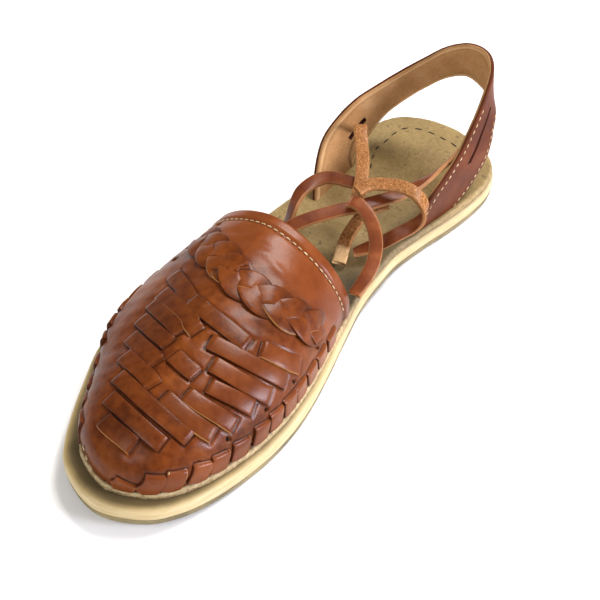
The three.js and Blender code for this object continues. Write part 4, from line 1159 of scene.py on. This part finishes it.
class SANDAL_OT_weave(Operator):
    """Lays the bars of the weave, the wraps of the border and the braid on the toe form."""

    bl_idname = "sandal.weave"
    bl_label = "Weave"

    def execute(self, context):
        rng = np.random.default_rng(SEED)
        bars = Build()
        for row in BARS:
            along, turn = bar_path(row)
            wobble = 0.0016 * np.sin(np.linspace(0, 3.1, len(along)) * 2 + rng.uniform(0, 6))
            width = STRIP_WIDTH * rng.uniform(1.02, 1.1)
            relief = STRIP_RELIEF * rng.uniform(0.9, 1.1)
            raw = 0.9 * (rng.random() < 0.35)
            # Painted light: bars that end far on the inner side are lightened where the side lamp falls.
            lay_strip(
                bars,
                along + wobble,
                turn,
                width,
                relief,
                tone=rng.uniform(0.76, 0.94),
                raw=raw,
                light=0.5 * (row[3] > 0.75),
            )
        wraps = Build()
        sides = [(row, "inner") for row in WRAPS] + [(row, "outer") for row in WRAPS[OUTER_WRAP_START:]]
        for row, side in sides:
            along, turn = wrap_path(row, side)
            width = WRAP_WIDTH * rng.uniform(0.98, 1.06)
            raw = 0.9 * (row in PALE_WRAPS and side == "inner")
            tone = rng.uniform(0.94, 1.05)
            # Painted light: the wraps of the inner side are lightened where the side lamp falls.
            light = 0.8 if side == "inner" else 0.0
            ends = (False, True)
            lay_strip(
                wraps, along, turn, width, WRAP_RELIEF, ends=ends, tone=tone, crown=0.25, raw=raw, light=light
            )
        pieces = [bars.piece("weave_bars", material("upper")), wraps.piece("border_wraps", material("upper"))]
        pieces.append(self.braid())
        for piece in pieces:
            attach(piece, "root")
        return {"FINISHED"}

    @staticmethod
    def braid():
        """Three flat strands that pass over and under each other across the instep."""
        turn = np.linspace(BRAID[0][0] - 0.02, BRAID[-1][0] + 0.01, 220)
        place = table_value(BRAID, BRAID_COLUMNS, "place", turn)
        centre, normal = form_skin(place, turn)
        side = np.cross(unit(np.gradient(centre, axis=0)), normal)
        length = run_length(centre)
        period, swing, rise = 31.0, 3.7, 0.4
        build = Build()
        for strand in range(3):
            phase = 2 * math.pi * (length / period + strand / 3)
            middle = centre + side * (swing * np.sin(phase))[:, None]
            sink = 1.8 * (1 - smooth_step(0, 2, length) * smooth_step(0, 2, length[-1] - length))
            middle = middle + normal * (0.5 + rise * np.sin(2 * phase) - sink)[:, None]
            ahead = unit(np.gradient(middle, axis=0))
            across = unit(np.cross(ahead, normal))
            up = np.cross(across, ahead)
            # Painted shade: each strand darkens where it dips under the others.
            tone = 0.6 + 0.4 * smooth_step(-1, 0.4, np.sin(2 * phase))
            profile = strap_profile(8.2, 0.5, -0.5, 0.34, 0.12)
            sweep(build, middle, across, up, profile, tone=tone, raw=0.8 * (strand == 1))
        return build.piece("instep_braid", material("upper"))


# Heel strap


def strap_middle(place, share):
    place, share = np.broadcast_arrays(np.asarray(place, float), np.asarray(share, float))
    rows = tuple((index, *row) for index, row in enumerate(STRAP))
    names = ("along", *STRAP_COLUMNS)
    value = lambda column: table_value(rows, names, column, place)
    edges = []
    for name in ("front", "rear"):
        y = SOLE_LENGTH / 2 - SOLE_LENGTH * value(name + "_y")
        edge = [BALL_WIDTH * value(name + "_x"), y, STRAP_HEIGHT * value(name + "_z")]
        edges.append(np.stack(edge, axis=-1))
    point = edges[0] + (edges[1] - edges[0]) * share[..., None]
    point[..., 2] += INSOLE_BASE + ground_lift(point[..., 1])
    return point


def strap_skin(place, share):
    step = 0.02
    before, after = np.clip(place - step, 0, STRAP_ROWS), np.clip(place + step, 0, STRAP_ROWS)
    run = strap_middle(after, share) - strap_middle(before, share)
    across = strap_middle(place, share + step) - strap_middle(place, share - step)
    return strap_middle(place, share), unit(np.cross(run, across))


def strap_band(start, end, rows, section):
    """A closed band of the strap from a section of shares of its width and lifts toward the foot."""
    place = np.linspace(start, end, rows)
    rings = []
    for share, lift in section:
        point, normal = strap_skin(place, np.full(rows, share))
        rings.append(point + normal * lift)
    return np.stack(rings, axis=1).reshape(-1, 3), tube_faces(rows, len(section))


def cut_away(piece, cutters):
    """Cuts closed meshes out of a piece and leaves a plain mesh."""
    for cutter in cutters:
        modifier = piece.modifiers.new("cut", "BOOLEAN")
        modifier.object = cutter
        modifier.operation = "DIFFERENCE"
        modifier.solver = "EXACT"
    graph = bpy.context.evaluated_depsgraph_get()
    mesh = bpy.data.meshes.new_from_object(piece.evaluated_get(graph))
    piece.modifiers.clear()
    piece.data = mesh
    for cutter in cutters:
        bpy.data.objects.remove(cutter)


class SANDAL_OT_heel_strap(Operator):
    """Builds the sewn heel strap with its two layers, rolled edges and slits."""

    bl_idname = "sandal.heel_strap"
    bl_label = "Heel strap"

    def execute(self, context):
        half = STRAP_THICKNESS / 2
        shares = np.linspace(0.04, 0.96, 25)
        section = [(share, half) for share in shares]
        levels = (half * 0.75, half * 0.3, 0, -half * 0.3, -half * 0.75)
        section += list(zip((0.985, 1.0, 0.985, 1.0, 0.985), levels))
        section += [(share, -half) for share in shares[::-1]]
        section += list(zip((0.015, 0.0, 0.015, 0.0, 0.015), levels[::-1]))
        rows = 240
        points, faces = strap_band(0, STRAP_ROWS, rows, section)
        across, lifts = np.asarray(section).T
        edge = np.minimum(across, 1 - across)
        flesh = np.where(lifts > 0, 1.0, 0.0)
        rims = np.where(edge < 0.035, 0.6, 0.0)
        pale = 0.75 * flesh * np.exp(-(((edge - 0.07) / 0.025) ** 2))
        tones = np.where(lifts == 0, 0.15, 1.0) - 0.3 * np.exp(-(((edge - 0.125) / 0.022) ** 2))
        place = np.linspace(0, STRAP_ROWS, rows)
        # Painted shade: a dark line on the flesh side stands in for the fold of the far band.
        fold = across - 0.6 - 0.114 * (place[:, None] - 16.4)
        creased = smooth_step(16.3, 16.8, place) * smooth_step(20, 19.4, place)
        tone = tones - 0.8 * flesh * creased[:, None] * np.exp(-((fold / 0.03) ** 2))
        build = Build()
        values = {"flesh": flesh, "rim": rims, "raw": pale}
        values = {name: np.tile(value, rows) for name, value in values.items()}
        build.add(points, faces, tone=np.clip(tone, 0, 1).ravel(), **values)
        strap = build.piece("heel_strap_leather", material("strap"))
        cutters = []
        for start, end, share in SLITS:
            width = np.linalg.norm(strap_middle(start, 0) - strap_middle(start, 1))
            reach = SLIT_WIDTH / 2 / width
            corners = ((share - reach, 3), (share + reach, 3), (share + reach, -3), (share - reach, -3))
            cutter = Build()
            # Painted shade: the slit walls keep the cutter's low tone and come out dark.
            cutter.add(*strap_band(start, end, 14, corners), tone=0.2)
            cutters.append(cutter.piece("slit_cutter", material("strap")))
        cut_away(strap, cutters)
        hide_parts("heel_strap")
        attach(strap, "root")
        return {"FINISHED"}


# Thong


def slit_mouth(slit, way, heading, tilt):
    """Place beside a slit where the middle of the thong arrives. way is the share of the slit's length."""
    start, end, share = slit
    point, normal = strap_skin(np.array([start + (end - start) * way]), np.array([share]))
    lifted = point[0] + normal[0] * (STRAP_THICKNESS / 2 + THONG_WIDTH / 2 + SEAT_GAP)
    return (*lifted, heading, tilt)


def thong_frames(route, spacing=1.2):
    """Centre points, width directions and normals of a thong along its route."""
    route = np.asarray(route, float)
    per_span = 40
    curve = catmull_points(route[:, :3], per_span)
    angles = np.stack(
        [
            np.interp(np.arange(len(curve)) / per_span, np.arange(len(route)), route[:, axis])
            for axis in (3, 4)
        ],
        axis=1,
    )
    length = run_length(curve)[-1]
    both = resample(np.column_stack([curve, angles]), max(8, int(length / spacing)))
    centre, heading, tilt = both[:, :3], np.radians(both[:, 3]), np.radians(both[:, 4])
    run = unit(np.gradient(centre, axis=0))
    width = np.stack([np.cos(heading), np.sin(heading), np.tan(tilt)], axis=1)
    width = unit(width - run * (width * run).sum(axis=1)[:, None])
    return centre, width, np.cross(width, run), length


def thong_profile(flesh_up):
    profile = strap_profile(THONG_WIDTH, THONG_THICKNESS / 2, -THONG_THICKNESS / 2, 0.5, 0.12)
    if flesh_up:
        profile[:, 3] = 1 - profile[:, 3]
    return profile


class SANDAL_OT_thongs(Operator):
    """Runs the thong across the instep, round its loop and to its ends."""

    bl_idname = "sandal.thongs"
    bl_label = "Thongs"

    def execute(self, context):
        inner_slit, outer_slit = SLITS
        bars = Build()
        across = (*ACROSS_ROUTE, slit_mouth(inner_slit, 0.15, -10, 75))
        back = (slit_mouth(outer_slit, 0.5, 35, 0), *BACK_ROUTE)
        for route, flesh_up in ((across, False), (back, True)):
            centre, width, normal, _ = thong_frames(route)
            sign = 1 if normal[len(normal) // 2, 2] > 0 else -1
            sweep(bars, centre, width, normal * sign, thong_profile(flesh_up), tone=1.0)
        bars = bars.piece("thong_bars", material("thong"))
        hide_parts("lace_bars")
        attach(bars, "root")
        cords = (
            ("thong_loop", "lace_loop", LOOP_ROUTE, True, "bare"),
            ("thong_inner", "lace_end_inner", INNER_ROUTE, False, "object"),
            ("thong_outer", "lace_end_outer", OUTER_ROUTE, False, "bare"),
            ("thong_cut_end", "lace_end_cut", CUT_END_ROUTE, True, "bare"),
        )
        for name, node, route, flesh_up, far_end in cords:
            build = Build()
            centre, width, normal, length = thong_frames(route)
            sign = 1 if normal[0, 2] > 0 else -1
            # Painted shade: the thong on the outer side, away from the lamps, is darkened.
            tone = 0.8 if name == "thong_outer" else 1.0
            way = np.linspace(0, 1, len(centre))
            end_raw = smooth_step(0.68, 0.8, way) * 0.95 if name == "thong_cut_end" else way * 0
            sweep(build, centre, width, normal * sign, thong_profile(flesh_up), tone=tone, end_raw=end_raw)
            piece = build.piece(name, material("thong"))
            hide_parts(node)
            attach(piece, "root")
        return {"FINISHED"}


# Stitches


def stitch_tree(thread):
    """A node tree that lays thread stitches along a curve."""
    tree = bpy.data.node_groups.new("stitch_row", "GeometryNodeTree")
    face = tree.interface
    face.new_socket("Geometry", in_out="INPUT", socket_type="NodeSocketGeometry")
    for name in ("Pitch", "Stitch Length", "Thread Width"):
        face.new_socket(name, in_out="INPUT", socket_type="NodeSocketFloat")
    face.new_socket("Geometry", in_out="OUTPUT", socket_type="NodeSocketGeometry")
    given = add_node(tree, "NodeGroupInput", output=None).outputs
    leave = add_node(tree, "NodeGroupOutput", output=None)
    line = {"Curve": given["Geometry"], "Length": given["Pitch"]}
    spaced = add_node(tree, "GeometryNodeResampleCurve", line, mode="LENGTH")
    stitch = add_node(tree, "GeometryNodeMeshUVSphere", {"Segments": 8, "Rings": 6, "Radius": 0.5}, "Mesh")
    width = given["Thread Width"]
    size = add_node(tree, "ShaderNodeCombineXYZ", {"X": given["Stitch Length"], "Y": width, "Z": width})
    shaped = add_node(tree, "GeometryNodeTransform", {"Geometry": stitch, "Scale": size})
    tangent = add_node(tree, "GeometryNodeInputTangent")
    turned = add_node(tree, "FunctionNodeAlignRotationToVector", {"Vector": tangent}, axis="X")
    spots = {"Points": spaced, "Instance": shaped, "Rotation": turned}
    placed = add_node(tree, "GeometryNodeInstanceOnPoints", spots)
    real = add_node(tree, "GeometryNodeRealizeInstances", {"Geometry": placed})
    coloured = add_node(tree, "GeometryNodeSetMaterial", {"Geometry": real, "Material": thread})
    tree.links.new(coloured, leave.inputs[0])
    return tree


def stitch_row(name, rows, pitch, stitch, width, thread):
    """Stitches along several lines of points, made a plain mesh."""
    curve = bpy.data.curves.new(name, "CURVE")
    curve.dimensions = "3D"
    for row in rows:
        spline = curve.splines.new("POLY")
        spline.points.add(len(row) - 1)
        for point, place in zip(spline.points, row):
            point.co = (*((np.asarray(place) + (SHIFT_X, 0, 0)) * MM), 1)
    holder = bpy.data.objects.new(name + "_line", curve)
    bpy.context.scene.collection.objects.link(holder)
    modifier = holder.modifiers.new("stitches", "NODES")
    modifier.node_group = stitch_tree(thread)
    sizes = {"Pitch": pitch, "Stitch Length": stitch, "Thread Width": width}
    for item in modifier.node_group.interface.items_tree:
        if item.in_out == "INPUT" and item.name in sizes:
            modifier[item.identifier] = sizes[item.name]
    graph = bpy.context.evaluated_depsgraph_get()
    mesh = bpy.data.meshes.new_from_object(holder.evaluated_get(graph))
    piece = bpy.data.objects.new(name, mesh)
    bpy.context.scene.collection.objects.link(piece)
    bpy.data.objects.remove(holder)
    mesh.polygons.foreach_set("use_smooth", [True] * len(mesh.polygons))
    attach(piece, "root")
    return piece


# Stitch line of the heel on the insole, x and y.
HEEL_STITCHES = (
    (-13.7, 80.5),
    (-17.6, 89.5),
    (-17.3, 95.3),
    (-17, 101.9),
    (-16.3, 107.3),
    (-13.3, 110.6),
    (-9.6, 112.4),
    (-5, 113.2),
    (0.2, 113.2),
    (5.6, 112.7),
    (10.8, 111.6),
    (16.5, 108.6),
    (20.5, 104),
    (23, 98),
    (24.4, 91),
    (24.8, 84),
)


class SANDAL_OT_stitches(Operator):
    """Sews the throat edge, the heel strap and the insole."""

    bl_idname = "sandal.stitches"
    bl_label = "Stitches"

    def execute(self, context):
        sizes = settings()
        pitch, width = sizes.stitch_pitch, sizes.thread_width
        turn = np.linspace(0.1, 0.9, 240)
        along = 1 - (EDGE_WIDTH + 0.5) / FORM_LENGTH
        point, normal = form_skin(np.full(240, along), turn)
        lifted = point + normal * 0.02
        toe, toe_normal = form_skin(np.linspace(0.04, 0.018, 40), np.linspace(0.14, 0.02, 40))
        seam, seam_normal = form_skin(np.linspace(0.1, 0.066, 30), np.linspace(0.83, 0.97, 30))
        rows = [lifted, toe + toe_normal * 0.1, seam + seam_normal * 0.5]
        stitch_row("throat_stitches", rows, pitch, pitch * 0.74, width * 0.85, material("thread"))
        rows = []
        for share in (0.1, 0.9):
            for start, end in ((0.8, 7.2), (13.5, 19)):
                place = np.linspace(start, end, 160)
                middle, inward = strap_skin(place, np.full(160, share))
                rows.append(middle - inward * (STRAP_THICKNESS / 2 + 0.05))
        stitch_row("strap_stitches", rows, pitch, pitch * 0.6, width * 0.8, material("thread"))
        line = catmull_points(np.asarray(HEEL_STITCHES), 12)
        line = np.column_stack([line, np.full(len(line), INSOLE_TOP - 0.1)])
        insole_pitch = sizes.insole_pitch
        dash = insole_pitch * 0.62
        stitch_row("insole_stitches", [line], insole_pitch, dash, width * 0.9, material("hole"))
        return {"FINISHED"}


# Stage


class SANDAL_OT_stage(Operator):
    """Sets the pale floor, the soft lights and the camera of the photograph."""

    bl_idname = "sandal.stage"
    bl_label = "Stage"

    def execute(self, context):
        target = Vector(((CAMERA_TARGET[0] + SHIFT_X) * MM, CAMERA_TARGET[1] * MM, 0))
        azimuth, elevation = math.radians(CAMERA_AZIMUTH), math.radians(CAMERA_ELEVATION)
        back = Vector(
            (
                math.sin(azimuth) * math.cos(elevation),
                -math.cos(azimuth) * math.cos(elevation),
                math.sin(elevation),
            )
        )
        lens = bpy.data.cameras.new("camera")
        lens.lens = CAMERA_LENS
        lens.sensor_width = 36
        lens.clip_start, lens.clip_end = 0.01, 20
        camera = bpy.data.objects.new("camera", lens)
        camera.location = target + back * CAMERA_DISTANCE * MM
        camera.rotation_euler = (-back).to_track_quat("-Z", "Y").to_euler()
        context.scene.collection.objects.link(camera)
        context.scene.camera = camera
        context.scene.view_settings.view_transform = "Standard"
        self.floor(context)
        self.lights(context)
        return {"FINISHED"}

    @staticmethod
    def floor(context):
        build = Build()
        steps = np.linspace(-3000, 3000, 5)
        x, y = np.meshgrid(steps, steps, indexing="ij")
        points = np.stack([x.ravel(), y.ravel(), np.full(x.size, -0.05)], axis=1)
        faces = [tuple(reversed(face)) for face in grid_faces(5, 5)]
        build.add(points, faces, orient=False)
        paper, tree, shader, _ = start_material("pale_paper_floor")
        shader.inputs["Base Color"].default_value = (0.93, 0.93, 0.93, 1)
        shader.inputs["Roughness"].default_value = 0.9
        floor = build.piece("floor", paper)
        floor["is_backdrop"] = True

    @staticmethod
    def lights(context):
        rig = (
            ("key", (0.15, 0.75, 1.3), 0.6, 24, (1, 0.98, 0.95)),
            ("side", (1.15, 0.28, 0.42), 0.4, 18, (0.86, 0.86, 1)),
            ("front", (-0.1, -1.1, 1.1), 0.9, 11, (1, 0.97, 0.95)),
        )
        for name, place, size, power, colour in rig:
            light = bpy.data.lights.new(name, "AREA")
            light.size = size
            light.energy = power
            light.color = colour
            lamp = bpy.data.objects.new(name, light)
            lamp.location = place
            lamp.rotation_euler = (-Vector(place)).to_track_quat("-Z", "Y").to_euler()
            context.scene.collection.objects.link(lamp)
        world = bpy.data.worlds.new("soft_room")
        context.scene.world = world
        world.use_nodes = True
        world.node_tree.nodes["Background"].inputs[0].default_value = (1, 1, 1, 1)
        world.node_tree.nodes["Background"].inputs[1].default_value = 0.26


class SANDAL_PT_panel(Panel):
    """Lists the steps that build the sandal."""

    bl_label = "Huarache sandal"
    bl_space_type = "VIEW_3D"
    bl_region_type = "UI"
    bl_category = "Sandal"

    def draw(self, context):
        for step in STEPS:
            self.layout.operator(step.bl_idname)
        for name in SandalSettings.__annotations__:
            self.layout.prop(settings(), name)


STEPS = (
    SANDAL_OT_stage,
    SANDAL_OT_thongs,
    SANDAL_OT_sole,
    SANDAL_OT_insole,
    SANDAL_OT_vamp,
    SANDAL_OT_weave,
    SANDAL_OT_heel_strap,
    SANDAL_OT_stitches,
)


def register():
    for kind in (SandalSettings, *STEPS, SANDAL_PT_panel):
        bpy.utils.register_class(kind)
    bpy.types.Scene.sandal = PointerProperty(type=SandalSettings)


def unregister():
    del bpy.types.Scene.sandal
    for kind in reversed((SandalSettings, *STEPS, SANDAL_PT_panel)):
        bpy.utils.unregister_class(kind)


def as_lists(box):
    return [[float(value) for value in corner] for corner in box]


def main():
    register()
    for step in STEPS:
        group, name = step.bl_idname.split(".")
        getattr(getattr(bpy.ops, group), name)()
    {"cad": as_lists(CAD_BOX), "visual": as_lists(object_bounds())}


if __name__ == "__main__":
    main()
